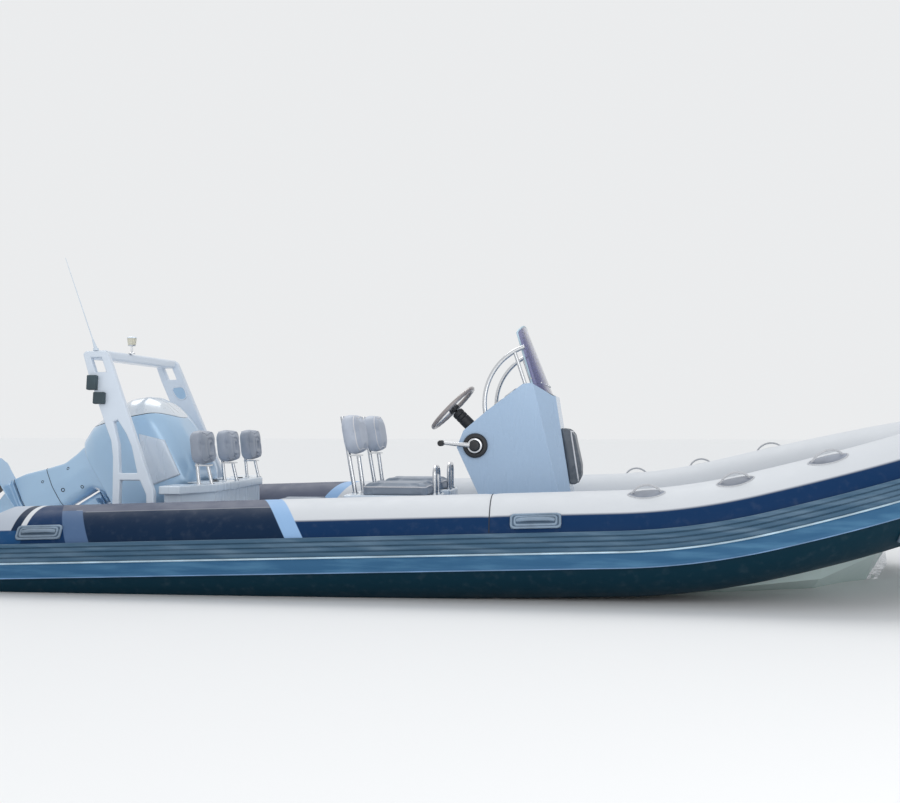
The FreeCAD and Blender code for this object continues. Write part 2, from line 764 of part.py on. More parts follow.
def console_rail(side):
    y = side * 330.0
    start, middle, end = V(34, y, 940), V(96, y, 1200), V(256, y, 1316)
    arch = Part.Arc(start, middle, end)
    heading = arch.tangent(arch.FirstParameter)[0]
    ring = Part.Wire(Part.makeCircle(rail_radius, start, V(*heading)))
    rail = Part.Wire(arch.toShape()).makePipeShell([ring], True, True)
    strut = rod((268, y, 1080), (200, y, 1288), 10)
    clamp_x, clamp_z = end.x - 8, end.z - 4
    stub = rod((clamp_x, y, clamp_z), (clamp_x - 14, side * 296.0, clamp_z), 8)
    return fused([rail, strut, stub]).cut(console_form(0)).cut(windscreen())


def front_cushion():
    outline = [(380, 862), (500, 858), (516, 842), (560, 636), (562, 540), (548, 528), (440, 526)]
    pad = side_plate(outline, -225, 225)
    grown = console_form(-seat_gap)
    return pad.cut(grown)


def front_seat_base():
    return on_deck(box(600, 930, -250, 250, 60, 330))


def front_seat_cushion():
    pad = box(575, 940, -255, 255, 330 + seat_gap, 388)
    return pad.makeFillet(16, [e for e in pad.Edges if e.BoundBox.ZMin > 340])


# Helm: wheel, column and throttle
helm_centre = V(wheel_x, 0, wheel_z)
shaft_radius = 9.0


def turned_to_helm(shape):
    """A shape drawn about the origin with its axis up, set on the helm's axis."""
    shape = shape.copy()
    shape.rotate(ORIGIN, TO_PORT, -wheel_tilt)
    shape.translate(helm_centre)
    return shape


def steering_wheel():
    ring = Part.makeTorus(wheel_diameter / 2 - wheel_rim_radius, wheel_rim_radius)
    hub = Part.makeCylinder(34, 30, V(0, 0, -24))
    spokes = []
    for angle in (90, 180, 270):
        spoke = box(24, wheel_diameter / 2 - wheel_rim_radius, -13, 13, -8, -2)
        spoke.rotate(ORIGIN, UP, angle)
        spokes.append(spoke)
    shaft = Part.makeCylinder(shaft_radius, 70, V(0, 0, -90))
    return turned_to_helm(fused([ring, hub, shaft] + spokes))


def helm_column():
    body = Part.makeCylinder(36, 150, V(0, 0, -182))
    collar = Part.makeCone(62, 52, 26, V(0, 0, -190))
    bore = Part.makeCylinder(shaft_radius + shaft_gap, 90, V(0, 0, -95))
    column = turned_to_helm(fused([body, collar]).cut(bore))
    return column.cut(console_form(0))


throttle_x, throttle_z = -20.0, 757.0


throttle_depth = 44.0


def throttle_base():
    y = -console_half_width - seat_gap
    disc = rod((throttle_x, y, throttle_z), (throttle_x, y - 26, throttle_z), 70)
    neck = rod((throttle_x, y, throttle_z), (throttle_x, y - throttle_depth, throttle_z), 44)
    return fused([disc, neck])


def throttle_lever():
    y = -console_half_width - throttle_depth - 2 * seat_gap
    hub = rod((throttle_x, y, throttle_z), (throttle_x, y - 22, throttle_z), 30)
    arm = rod((throttle_x, y - 11, throttle_z), (-206, y - 11, 771), 9)
    grip = rod((-206, y - 50, 771), (-206, y + 26, 771), 17)
    return fused([hub, arm, grip])


# Outboard motor, drawn upright about its tilt pivot as (u ahead, v to port, w up)
def motor(u, v, w):
    return V(pivot_x + u, v, pivot_z + w)


def motor_side(points, v0, v1):
    return side_plate([(pivot_x + u, pivot_z + w) for u, w in points], v0, v1)


def stowed(shape):
    shape = shape.copy()
    shape.rotate(motor(0, 0, 0), TO_PORT, stow_tilt)
    return shape


def clamp_bracket():
    front = transom_x + transom_thickness - pivot_x + seat_gap
    back = transom_x - pivot_x - seat_gap
    rest = transom_top - pivot_z + seat_gap
    outline = [(34, 10), (22, 34), (-20, 38), (-70, 14), (-104, -60), (-114, -180), (-96, -330), (back, -350),
               (back, rest), (front, rest), (front, -120), (34, -120)]
    plates = [motor_side(outline, s * bracket_half, s * (bracket_half + bracket_plate)) for s in (-1, 1)]
    tube = rod(motor(0, -bracket_half - bracket_plate - 14, 0), motor(0, bracket_half + bracket_plate + 14, 0),
               tilt_tube_radius)
    tie = rod(motor(-78, -bracket_half, -300), motor(-78, bracket_half, -300), 14)
    return fused(plates + [tube, tie])


barrel_radius = 42.0
barrel_top, barrel_bottom = -12.0, -320.0
king_pin_radius = 14.0


def swivel_bracket():
    reach = bracket_half - running_gap
    sleeve = rod(motor(0, -reach, 0), motor(0, reach, 0), tilt_sleeve_radius)
    barrel = rod(motor(steer_u, 0, barrel_bottom), motor(steer_u, 0, barrel_top), barrel_radius)
    web = motor_side([(0, 22), (-46, 22), (-64, -16), (steer_u, -16), (steer_u, -290), (-112, -290), (-62, -90),
                      (-58, -26), (0, -20)], -34, 34)
    arms = [motor_side([(0, 20), (-70, 18), (-120, -20), (-120, -110), (-64, -60), (-58, -26), (0, -18)], a, b)
            for a, b in ((-reach, -reach + 18), (reach - 18, reach))]
    cheeks = motor_side([(-100, -20), (steer_u, -20), (steer_u, -110), (-100, -110)], -reach, reach)
    body = fused([sleeve, barrel, web, cheeks] + arms)
    body = body.cut(rod(motor(0, -200, 0), motor(0, 200, 0), tilt_tube_radius + shaft_gap))
    body = body.cut(rod(motor(steer_u, 0, -400), motor(steer_u, 0, 60), king_pin_radius + shaft_gap))
    return stowed(body)


def streamlined(w, front, back, half):
    """Eight-sided section across the motor's leg at height w."""
    length = front - back
    side = [(front, 0.35 * half), (front - 0.12 * length, half), (front - 0.55 * length, half), (back, 0.28 * half)]
    outline = side + [(u, -v) for u, v in reversed(side)]
    points = [motor(u, v, w) for u, v in outline]
    return Part.makePolygon(points + points[:1])


# Leg sections: w, leading edge u, trailing edge u, half width
leg_split = -489.0
cowl_base = 100.0
LEG_SECTIONS = [(cowl_base - seat_gap, -60, -488, 160), (16, -168, -478, 110), (-14, -206, -472, 98),
                (-125, -206, -462, 78), (-263, -206, -500, 68), (-390, -206, -540, 62), (leg_split, -206, -554, 60)]


def midsection():
    leg = Part.makeLoft([streamlined(*row) for row in LEG_SECTIONS], True, True)
    yoke_top = box(pivot_x - 240, pivot_x - 96, -52, 52, pivot_z - 4, pivot_z + 20)
    yoke_low = box(pivot_x - 215, pivot_x - 104, -46, 46, pivot_z - 352, pivot_z - 328)
    pin = rod(motor(steer_u, 0, -340), motor(steer_u, 0, 5), king_pin_radius)
    return stowed(fused([leg, yoke_top, yoke_low, pin]))


def gearcase():
    strut = Part.makeLoft([streamlined(leg_split - seat_gap, -206, -556, 60), streamlined(-536, -214, -520, 42),
                           streamlined(-690, -240, -470, 26)], True, True)
    plate_half = [(-235, 30), (-300, 62), (-440, 100), (-690, 112), (-735, 70)]
    outline = plate_half + [(u, -v) for u, v in reversed(plate_half)]
    plate = plan_plate([(pivot_x + u, v) for u, v in outline], pivot_z + cavitation_w, pivot_z + cavitation_w + 9)
    torpedo = rod(motor(-505, 0, propeller_w), motor(-280, 0, propeller_w), 54)
    nose = Part.makeCone(54, 12, 110, motor(-280, 0, propeller_w), AHEAD)
    skeg = motor_side([(-262, -745), (-480, -745), (-500, -800), (-528, -896), (-478, -905), (-400, -862),
                       (-320, -800)], -7, 7)
    shaft = rod(motor(-560, 0, propeller_w), motor(-500, 0, propeller_w), propeller_shaft_radius)
    return stowed(fused([strut, plate, torpedo, nose, skeg, shaft]))


def propeller():
    hub = rod(motor(-620, 0, propeller_w), motor(-511, 0, propeller_w), hub_radius)
    nut = Part.makeCone(24, 12, 30, motor(-620, 0, propeller_w), V(-1, 0, 0))
    blades = []
    for k in range(blade_count):
        disc = Part.makeCylinder(66, 7, V(0, 0, -3.5))
        stretch = FreeCAD.Matrix()
        stretch.A11, stretch.A22 = 1.02, 0.98
        blade = disc.transformGeometry(stretch)
        blade.rotate(ORIGIN, TO_PORT, 90)
        blade.rotate(ORIGIN, UP, 28)
        blade.translate(V(0, 0, propeller_radius - 68))
        blade.rotate(ORIGIN, AHEAD, k * 360.0 / blade_count)
        blade.translate(motor(-566, 0, propeller_w))
        blades.append(blade)
    reach = rod(motor(-700, 0, propeller_w), motor(-400, 0, propeller_w), propeller_radius)
    body = fused([hub, nut] + blades).common(reach)
    bore = rod(motor(-565, 0, propeller_w), motor(-400, 0, propeller_w), propeller_shaft_radius + shaft_gap)
    return stowed(body.cut(bore))


# Cowl sections: w, front u, back u, half width, front corner radius, rear corner radius
COWL_SECTIONS = [(cowl_base, 112, -500, 226, 70, 180), (200, 142, -540, 262, 85, 205), (360, 152, -562, 282, 95, 215),
                 (500, 155, -554, 280, 100, 215), (590, 140, -518, 262, 95, 200), (650, 70, -440, 214, 75, 165),
                 (692, -70, -300, 120, 40, 90)]
# Edge of the pale rear cap, as (u, w)
CAP_EDGE = [(-700, 130), (-552, 130), (-462, 400), (-415, 534), (-378, 621), (-319, 680), (-240, 720), (-240, 800),
            (-700, 800)]


def rounded_section(w, front, back, half, front_corner, rear_corner):
    rect = [(front, -half), (front, half), (back, half), (back, -half)]
    radii = [front_corner, front_corner, rear_corner, rear_corner]
    edges = []
    count = len(rect)
    for k in range(count):
        before, here, after = rect[k - 1], rect[k], rect[(k + 1) % count]
        a = toward(here, before, radii[k])
        b = toward(here, after, radii[k])
        centre = (a[0] + b[0] - here[0], a[1] + b[1] - here[1])
        mid = toward(centre, here, radii[k])
        edges.append(Part.Arc(motor(a[0], a[1], w), motor(mid[0], mid[1], w), motor(b[0], b[1], w)).toShape())
        c = toward(after, here, radii[(k + 1) % count])
        edges.append(Part.LineSegment(motor(b[0], b[1], w), motor(c[0], c[1], w)).toShape())
    return Part.Wire(edges)


def toward(a, b, distance):
    length = math.hypot(b[0] - a[0], b[1] - a[1])
    return (a[0] + (b[0] - a[0]) * distance / length, a[1] + (b[1] - a[1]) * distance / length)


def cowl_form():
    return Part.makeLoft([rounded_section(*row) for row in COWL_SECTIONS], True, True)


cap_seam = 0.5


def cap_prism(extra):
    return motor_side([(u + extra, w) for u, w in CAP_EDGE], -400, 400)


def cowl():
    return stowed(cowl_form().cut(cap_prism(cap_seam)))


def cowl_cap():
    return stowed(cowl_form().common(cap_prism(0)))


def make_all():
    parts = {}
    aft, fore, bow = collar_parts()
    parts["tube_aft_starboard"] = raked(aft)
    parts["tube_aft_port"] = raked(mirrored(aft))
    parts["tube_fore_starboard"] = raked(fore)
    parts["tube_fore_port"] = raked(mirrored(fore))
    parts["tube_bow"] = raked(bow)
    for name, section in (("strake", ribbed_section()), ("rub_band", band_section())):
        side, nose = strake_parts(section)
        parts[name + "_starboard"] = raked(side)
        parts[name + "_port"] = raked(mirrored(side))
        parts[name + "_bow"] = raked(nose)
    parts["hull"] = raked(hull_solid())
    parts["deck"] = raked(deck_plate())
    parts["transom"] = transom_plate()
    parts["lift_handles"] = side_fittings()
    loops = [bow_loop(x, side) for side in (STARBOARD, PORT) for x in (930.0, 1390.0, 1820.0)]
    parts["bow_loops"] = Part.makeCompound(loops)
    parts["stem_fitting"] = stem_fitting()
    parts["deck_bollard"] = deck_bollard()
    parts["frame_side_starboard"] = frame_side(STARBOARD)
    parts["frame_side_port"] = frame_side(PORT)
    parts["frame_crossbar"] = frame_crossbar()
    parts["mast_light"] = mast_light()
    parts["antenna"] = antenna()
    parts["frame_boxes"] = frame_boxes()
    parts["aft_unit"] = aft_unit()
    parts["stern_seat_base"] = stern_seat_base()
    parts["stern_seat_lid"] = stern_seat_lid()
    parts["stern_seat_cushion"] = stern_seat_cushion()
    for name, y in (("starboard", -back_spacing), ("middle", 0.0), ("port", back_spacing)):
        parts["stern_back_" + name] = backrest(STERN_PAD, y)
    rows = (-back_spacing, 0.0, back_spacing)
    parts["stern_back_frames"] = Part.makeCompound([backrest_frame(STERN_PAD, y, aft_unit_top, 10.0, -1545.0, -1572.0)
                                                    for y in rows])
    for name, y in (("starboard", -pod_half_spacing), ("port", pod_half_spacing)):
        parts["jockey_pod_" + name] = jockey_pod(y)
        parts["jockey_cushion_" + name] = jockey_cushion(y)
        parts["jockey_back_" + name] = backrest(JOCKEY_PAD, y)
    sides = (-pod_half_spacing, pod_half_spacing)
    parts["jockey_frames"] = Part.makeCompound([backrest_frame(JOCKEY_PAD, y, pod_top, rail_radius, -682.0, -714.0)
                                                for y in sides])
    parts["grab_rails"] = Part.makeCompound([grab_rail(y) for y in sides])
    parts["console"] = console()
    parts["dash_panel"] = dash_panel()
    parts["gauges"] = gauges()
    parts["windscreen"] = windscreen()
    parts["console_rails"] = Part.makeCompound([console_rail(side) for side in (STARBOARD, PORT)])
    parts["front_cushion"] = front_cushion()
    parts["front_seat_base"] = front_seat_base()
    parts["front_seat_cushion"] = front_seat_cushion()
    parts["steering_wheel"] = steering_wheel()
    parts["helm_column"] = helm_column()
    parts["throttle_base"] = throttle_base()
    parts["throttle_lever"] = throttle_lever()
    parts["clamp_bracket"] = clamp_bracket()
    parts["swivel_bracket"] = swivel_bracket()
    parts["midsection"] = midsection()
    parts["gearcase"] = gearcase()
    parts["propeller"] = propeller()
    parts["cowl"] = cowl()
    parts["cowl_cap"] = cowl_cap()
    return parts


os.makedirs("parts", exist_ok=True)
for name, shape in make_all().items():
    shape.exportStep(f"parts/{name}.step")
    box_text = [round(v) for v in (shape.BoundBox.XMin, shape.BoundBox.XMax, shape.BoundBox.ZMin, shape.BoundBox.ZMax)]
    print(name, len(shape.Solids), round(shape.Volume / 1e6, 2), shape.isValid(), box_text)
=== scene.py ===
# %% [markdown]
# # An open inflatable boat with its motor tilted up
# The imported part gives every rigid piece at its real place, afloat two degrees bow-up, with the floor of this
# scene at the height of the water. This lesson dresses it: the air-filled collar and its rubber strakes, the
# moulded console and seats, the padded cushions, the arch and the outboard motor. Pieces that CAD already
# shapes well keep their mesh and get a better finish, and soft or smooth pieces are modelled here.

# %% Load the frame
import contextlib
import json
import math

import bmesh
import bpy
from mathutils import Matrix, Vector
from mathutils.bvhtree import BVHTree

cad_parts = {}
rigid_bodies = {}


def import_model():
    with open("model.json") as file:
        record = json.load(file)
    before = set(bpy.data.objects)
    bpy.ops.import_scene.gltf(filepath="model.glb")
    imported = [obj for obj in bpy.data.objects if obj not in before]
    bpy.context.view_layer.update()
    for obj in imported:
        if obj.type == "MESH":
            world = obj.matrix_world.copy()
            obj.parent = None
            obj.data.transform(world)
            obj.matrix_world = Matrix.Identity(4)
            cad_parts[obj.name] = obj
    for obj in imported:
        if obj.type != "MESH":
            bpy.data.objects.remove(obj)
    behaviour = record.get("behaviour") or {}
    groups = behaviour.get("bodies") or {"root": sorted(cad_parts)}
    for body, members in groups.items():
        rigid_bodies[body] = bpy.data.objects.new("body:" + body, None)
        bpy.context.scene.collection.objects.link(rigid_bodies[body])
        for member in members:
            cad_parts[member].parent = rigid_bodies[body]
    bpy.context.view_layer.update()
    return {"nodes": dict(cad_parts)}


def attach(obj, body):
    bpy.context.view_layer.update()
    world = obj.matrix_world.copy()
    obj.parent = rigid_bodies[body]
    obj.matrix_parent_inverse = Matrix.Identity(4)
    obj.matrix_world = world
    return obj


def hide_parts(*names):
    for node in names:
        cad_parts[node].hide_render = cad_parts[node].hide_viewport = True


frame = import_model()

# %% [markdown]
# ## Camera, floor and light
# The boat was seen from the starboard side, a little above the tubes, with a short telephoto view. The camera
# looks slightly aft. Light comes from broad soft panels, and the world adds an even glow, so that a colour
# renders about as it is written.

# %% Camera
scene = bpy.context.scene


def linked(name, data):
    """An object at the origin for a mesh, a camera or a lamp."""
    obj = bpy.data.objects.new(name, data)
    scene.collection.objects.link(obj)
    return obj


def aimed(name, data, place, direction):
    obj = linked(name, data)
    obj.location = place
    obj.rotation_euler = direction.to_track_quat("-Z", "Y").to_euler()
    return obj


camera = aimed("camera", bpy.data.cameras.new("camera"), Vector((0.729, -6.556, 0.875)),
               Vector((-0.1428, 0.9895, 0.0210)))
camera.data.lens = 44.13
camera.data.sensor_width = 36.0
camera.data.clip_end = 400.0
scene.camera = camera
scene.view_settings.view_transform = "Standard"
print("camera at", tuple(camera.location), "lens", camera.data.lens)


# %% A few helpers for meshes
def mesh_object(name, points, faces):
    """A new smooth object whose mesh has its place in its points."""
    mesh = bpy.data.meshes.new(name)
    mesh.from_pydata([tuple(p) for p in points], [], faces)
    mesh.validate()
    mesh.shade_smooth()
    return linked(name, mesh)


@contextlib.contextmanager
def edited(mesh):
    """A mesh as a bmesh while it is edited."""
    bm = bmesh.new()
    bm.from_mesh(mesh)
    yield bm
    bm.to_mesh(mesh)
    bm.free()


def outward(obj):
    """Make the faces of a closed mesh point outwards, after its doubles are merged."""
    with edited(obj.data) as bm:
        bmesh.ops.remove_doubles(bm, verts=bm.verts, dist=1e-6)
        bmesh.ops.recalc_face_normals(bm, faces=bm.faces)
    return obj


def crisp(obj, degrees):
    obj.data.set_sharp_from_angle(angle=math.radians(degrees))
    return obj


def skin_tree(obj):
    """A tree that finds where a ray meets the skin."""
    return BVHTree.FromPolygons([v.co for v in obj.data.vertices], [tuple(p.vertices) for p in obj.data.polygons])


def applied(obj):
    """Turn the evaluated object into a plain mesh and drop its modifiers."""
    bpy.context.view_layer.update()
    mesh = bpy.data.meshes.new_from_object(obj.evaluated_get(bpy.context.evaluated_depsgraph_get()))
    obj.modifiers.clear()
    obj.data = mesh
    mesh.name = obj.name
    return obj


def joined(name, objects):
    """One object from several."""
    bm = bmesh.new()
    for obj in objects:
        bm.from_mesh(obj.data)
        bpy.data.objects.remove(obj)
    mesh = bpy.data.meshes.new(name)
    bm.to_mesh(mesh)
    bm.free()
    return linked(name, mesh)


def painted(obj, material):
    obj.data.materials.clear()
    obj.data.materials.append(material)


def dressed(obj, material, body="boat", slot=None, stands_for=()):
    """Give a finished piece its material, its body and the CAD nodes that it stands for."""
    painted(obj, material)
    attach(obj, body)
    if stands_for:
        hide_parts(*stands_for)
    return obj


print("helpers ready")


# %% Copies of CAD pieces
def copy_of(node, name=None):
    """A merged copy of a CAD piece that may be reshaped; the CAD piece itself stays as it is."""
    source = frame["nodes"][node]
    mesh = source.data.copy()
    mesh.transform(source.matrix_world)
    with edited(mesh) as bm:
        bmesh.ops.remove_doubles(bm, verts=bm.verts, dist=1e-5)
        bmesh.ops.dissolve_limit(bm, angle_limit=math.radians(1.5), verts=bm.verts, edges=bm.edges)
    return linked(name or node + "_skin", mesh)


def modified(obj, kind, **values):
    made = obj.modifiers.new(kind.lower(), kind)
    for key, value in values.items():
        setattr(made, key, value)
    return made


def rounded(obj, width, steps=3):
    """Round the edges as a mould leaves them, and keep the flat faces flat in the light."""
    modified(obj, "BEVEL", width=width, segments=steps, limit_method="ANGLE", angle_limit=math.radians(24))
    applied(obj).data.shade_smooth()
    modified(crisp(obj, 38), "WEIGHTED_NORMAL", keep_sharp=True)
    return applied(obj)


def cast(obj, voxel, rounds):
    """Rebuild a form as one skin and soften it, as a casting is."""
    modified(obj, "REMESH", mode="VOXEL", voxel_size=voxel, use_smooth_shade=True)
    modified(obj, "SMOOTH", factor=0.5, iterations=rounds)
    return applied(obj)


bpy.context.view_layer.update()
print("CAD pieces at hand:", len(frame["nodes"]))


# %% Turned pieces, lofts and blocks
def banded(rows, count):
    """Faces between closed rings that have as many points each."""
    return [(k * count + j, k * count + (j + 1) % count, (k + 1) * count + (j + 1) % count, (k + 1) * count + j)
            for k in range(rows - 1) for j in range(count)]


def circle(count):
    return [2 * math.pi * k / count for k in range(count)]


def turned(name, profile, place, segments=48):
    """A closed profile of (radius, height) in millimetres, turned about its own axis and set in place."""
    rings = [[(r / 1000 * math.cos(a), r / 1000 * math.sin(a), z / 1000) for a in circle(segments)]
             for r, z in profile + profile[:1]]
    obj = crisp(outward(mesh_object(name, sum(rings, []), banded(len(rings), segments))), 35)
    obj.data.transform(place)
    return obj


def lofted(name, rings, sharp=45.0):
    """A closed skin over rings that all have as many points."""
    count = len(rings[0])
    points = [p for ring in rings for p in ring]
    faces = [tuple(range(count)), tuple(range(len(points) - count, len(points)))] + banded(len(rings), count)
    return crisp(outward(mesh_object(name, points, faces)), sharp)


def block(name, size, place, width):
    """A small moulded block with rounded edges, set in place by a matrix."""
    obj = linked(name, bpy.data.meshes.new(name))
    with edited(obj.data) as bm:
        bmesh.ops.create_cube(bm, size=1.0, matrix=Matrix.Diagonal((*size, 1)))
    rounded(obj, width).data.transform(place)
    return obj


def at(x, y, z, axis="Z", degrees=0.0):
    return Matrix.Translation((x, y, z)) @ Matrix.Rotation(math.radians(degrees), 4, axis)


print("turning and lofting ready")


# %% Geometry Nodes with named inputs
class Nodes:
    """A node tree at hand; a node takes its settings and inputs in one call and gives one output."""

    def __init__(self, tree):
        self.nodes, self.links = tree.nodes, tree.links

    def feed(self, value, socket):
        if isinstance(value, bpy.types.NodeSocket):
            self.links.new(value, socket)
        else:
            socket.default_value = value

    def node(self, kind, inputs=None, out=0, **values):
        made = self.nodes.new(kind)
        for key, value in values.items():
            setattr(made, key, value)
        for key, value in (inputs or {}).items():
            self.feed(value, made.inputs[key])
        return made.outputs[out]


class Tree(Nodes):
    """A Geometry Nodes group that takes paths and named sizes, and ends in one mesh with its material."""

    def __init__(self, name, **inputs):
        self.group = bpy.data.node_groups.new(name, "GeometryNodeTree")
        super().__init__(self.group)
        sides = self.group.interface
        self.ids = {label: sides.new_socket(label, in_out="INPUT", socket_type="NodeSocket" + kind).identifier
                    for label, kind in {"Path": "Geometry", **inputs, "Material": "Material"}.items()}
        sides.new_socket("Geometry", in_out="OUTPUT", socket_type="NodeSocketGeometry")
        self.given = self.nodes.new("NodeGroupInput").outputs
        self.line = self.node("GeometryNodeMeshToCurve", {"Mesh": self.given["Path"]})

    def close(self, geometry):
        real = self.node("GeometryNodeRealizeInstances", {"Geometry": geometry})
        finish = self.node("GeometryNodeSetMaterial", {"Geometry": real, "Material": self.given["Material"]})
        self.feed(finish, self.nodes.new("NodeGroupOutput").inputs[0])


def grown(tree, name, paths, material, closed=False, **values):
    """Run a tree on paths of points and keep the result as a plain mesh."""
    points, edges = [], []
    for path in paths:
        start = len(points)
        points += [tuple(p) for p in path]
        edges += [(start + k, start + k + 1) for k in range(len(path) - 1)]
        if closed:
            edges.append((len(points) - 1, start))
    mesh = bpy.data.meshes.new(name)
    mesh.from_pydata(points, edges, [])
    obj = linked(name, mesh)
    made = modified(obj, "NODES", node_group=tree.group)
    for label, value in {**values, "Material": material}.items():
        made[tree.ids[label]] = value
    return outward(applied(obj))


bead = Tree("bead along a path", Radius="Float", Sides="Int")
ring = bead.node("GeometryNodeCurvePrimitiveCircle",
                 {"Radius": bead.given["Radius"], "Resolution": bead.given["Sides"]}, mode="RADIUS")
skin = bead.node("GeometryNodeCurveToMesh", {"Curve": bead.line, "Profile Curve": ring, "Fill Caps": True})
bead.close(bead.node("GeometryNodeSetShadeSmooth", {"Geometry": skin}))


def laid(name, paths, material, radius, sides, closed=False, **dress):
    """Round beads along paths, as one dressed piece."""
    beads = grown(bead, name, paths, material, closed, Radius=radius, Sides=sides)
    return dressed(beads, material, **dress)


studs = Tree("studs in a row", Spacing="Float", Long="Float", Wide="Float")
spots = studs.node("GeometryNodeCurveToPoints", {"Curve": studs.line, "Length": studs.given["Spacing"]},
                   "Points", mode="LENGTH")
ball = studs.node("GeometryNodeMeshUVSphere", {"Segments": 12, "Rings": 6})
smooth_ball = studs.node("GeometryNodeSetShadeSmooth", {"Geometry": ball})
wide = studs.given["Wide"]
size = studs.node("ShaderNodeCombineXYZ", {"X": wide, "Y": wide, "Z": studs.given["Long"]})
studs.close(studs.node("GeometryNodeInstanceOnPoints", {
    "Points": spots, "Instance": smooth_ball, "Rotation": spots.node.outputs["Rotation"], "Scale": size}))

ticks = Tree("ticks round a dial", Count="Int", Long="Float", Wide="Float")
spots = ticks.node("GeometryNodeCurveToPoints", {"Curve": ticks.line, "Count": ticks.given["Count"]},
                   "Points", mode="COUNT")
tick_height = 0.0008
size = ticks.node("ShaderNodeCombineXYZ", {"X": ticks.given["Long"], "Y": ticks.given["Wide"], "Z": tick_height})
bar = ticks.node("GeometryNodeMeshCube", {"Size": size})
place = ticks.node("GeometryNodeInputPosition")
turn = ticks.node("FunctionNodeAlignRotationToVector", {"Vector": place}, axis="X")
ticks.close(ticks.node("GeometryNodeInstanceOnPoints", {"Points": spots, "Instance": bar, "Rotation": turn}))
print("three trees:", ", ".join(t.group.name for t in (bead, studs, ticks)))

# %% Floor and world
floor_half = 60.0
floor_grey = 0.82
corners = [(x * floor_half, y * floor_half, 0) for x, y in ((-1, -1), (1, -1), (1, 1), (-1, 1))]
floor = mesh_object("floor", corners, [(0, 1, 2, 3)])
floor_finish = bpy.data.materials.new("floor_pale")
floor_finish.use_nodes = True
floor_shader = floor_finish.node_tree.nodes["Principled BSDF"].inputs
floor_shader["Base Color"].default_value = (floor_grey, floor_grey, floor_grey, 1)
floor_shader["Roughness"].default_value = 0.9
floor_shader["Specular IOR Level"].default_value = 0.1
floor.data.materials.append(floor_finish)

world = bpy.data.worlds.new("studio")
world.use_nodes = True
scene.world = world
sky = Nodes(world.node_tree)
glow = sky.nodes["Background"]
glow.inputs["Color"].default_value = (0.94, 0.97, 1.0, 1)
glow.inputs["Strength"].default_value = 0.70
shown = sky.node("ShaderNodeBackground", {"Color": (0.83, 0.84, 0.85, 1), "Strength": 1.0})
rays = sky.node("ShaderNodeLightPath").node.outputs
seen = sky.node("ShaderNodeMath", {0: rays["Is Camera Ray"], 1: rays["Is Glossy Ray"]}, operation="MAXIMUM")
seen = sky.node("ShaderNodeMath", {0: seen, 1: rays["Is Transmission Ray"]}, operation="MAXIMUM")
backdrop = sky.node("ShaderNodeMixShader", {0: seen, 1: glow.outputs[0], 2: shown})
sky.feed(backdrop, sky.nodes["World Output"].inputs["Surface"])
print("floor", 2 * floor_half, "m wide")

# %% Lamps
# name, kind, place, strength, size: metres for a panel, degrees for the wide soft sun
LAMPS = [("high_sun", "SUN", (-2.5, 5.0, 8.0), 1.15, 40.0), ("fill_starboard", "AREA", (2.0, -9.0, 4.0), 150, 6.0),
         ("fill_low", "AREA", (3.2, -5.5, 0.7), 32, 2.5)]
lit_middle = Vector((0, 0, 0.3))
for name, kind, place, strength, size in LAMPS:
    lamp = bpy.data.lights.new(name, kind)
    lamp.energy = strength
    if kind == "SUN":
        lamp.angle = math.radians(size)
    else:
        lamp.size = size
    aimed(name, lamp, place, lit_middle - Vector(place))
print(len(LAMPS), "lamps")

# %% [markdown]
# ## Finishes
# Each finish is a small node tree on object coordinates: a base colour with slow changes in tone, a finer
# pattern for its grain, and a little bump. Values that are the same all over stay on the shader's own sockets.


# %% A helper that starts every finish
def linear(screen):
    """A colour as a screen shows it, 0 to 255, in the linear values that shaders take."""
    return tuple(((c / 255 + 0.055) / 1.055) ** 2.4 if c > 10 else c / 255 / 12.92 for c in screen)


class Finish(Nodes):
    """A material with its node tree at hand; its slot argument is not used."""

    def __init__(self, name, slot, screen, roughness, metallic=0.0, coat=0.0):
        self.mat = bpy.data.materials.new(name)
        self.mat.use_nodes = True
        super().__init__(self.mat.node_tree)
        self.tone = linear(screen)
        self.mat.diffuse_color = (*self.tone, 1)
        self.shader = self.nodes["Principled BSDF"].inputs
        for key, value in (("Base Color", (*self.tone, 1)), ("Roughness", roughness), ("Metallic", metallic),
                           ("Coat Weight", coat)):
            self.put(key, value)
        self.place = self.node("ShaderNodeTexCoord", out="Object")

    def put(self, key, value):
        self.feed(value, self.shader[key])

    def shade(self, factor):
        return tuple(min(1.0, c * factor) for c in self.tone)

    def math(self, operation, a, b):
        return self.node("ShaderNodeMath", {0: a, 1: b}, operation=operation)

    def mix(self, share, a, b):
        """Mix two colours, which are sockets 6 and 7 of the node, into its colour output."""
        a, b = ((*value, 1) if isinstance(value, tuple) else value for value in (a, b))
        return self.node("ShaderNodeMix", {0: share, 6: a, 7: b}, 2, data_type="RGBA")

    def noise(self, scale, detail=3.0, stretch=None):
        place = self.place
        if stretch:
            place = self.node("ShaderNodeMapping", {"Vector": place, "Scale": stretch})
        return self.node("ShaderNodeTexNoise", {"Scale": scale, "Detail": detail, "Vector": place}, "Fac")

    def cells(self, scale):
        return self.node("ShaderNodeTexVoronoi", {"Scale": scale, "Vector": self.place}, "Distance")

    def span(self, value, low, high, to_low=0.0, to_high=1.0):
        """Map a value from one span to another, held at both ends, with a smooth step."""
        ends = {"Value": value, "From Min": low, "From Max": high, "To Min": to_low, "To Max": to_high}
        return self.node("ShaderNodeMapRange", ends, interpolation_type="SMOOTHSTEP")

    def bump(self, height, strength, distance):
        ends = {"Height": height, "Strength": strength, "Distance": distance}
        self.put("Normal", self.node("ShaderNodeBump", ends))


print("finish helper ready")


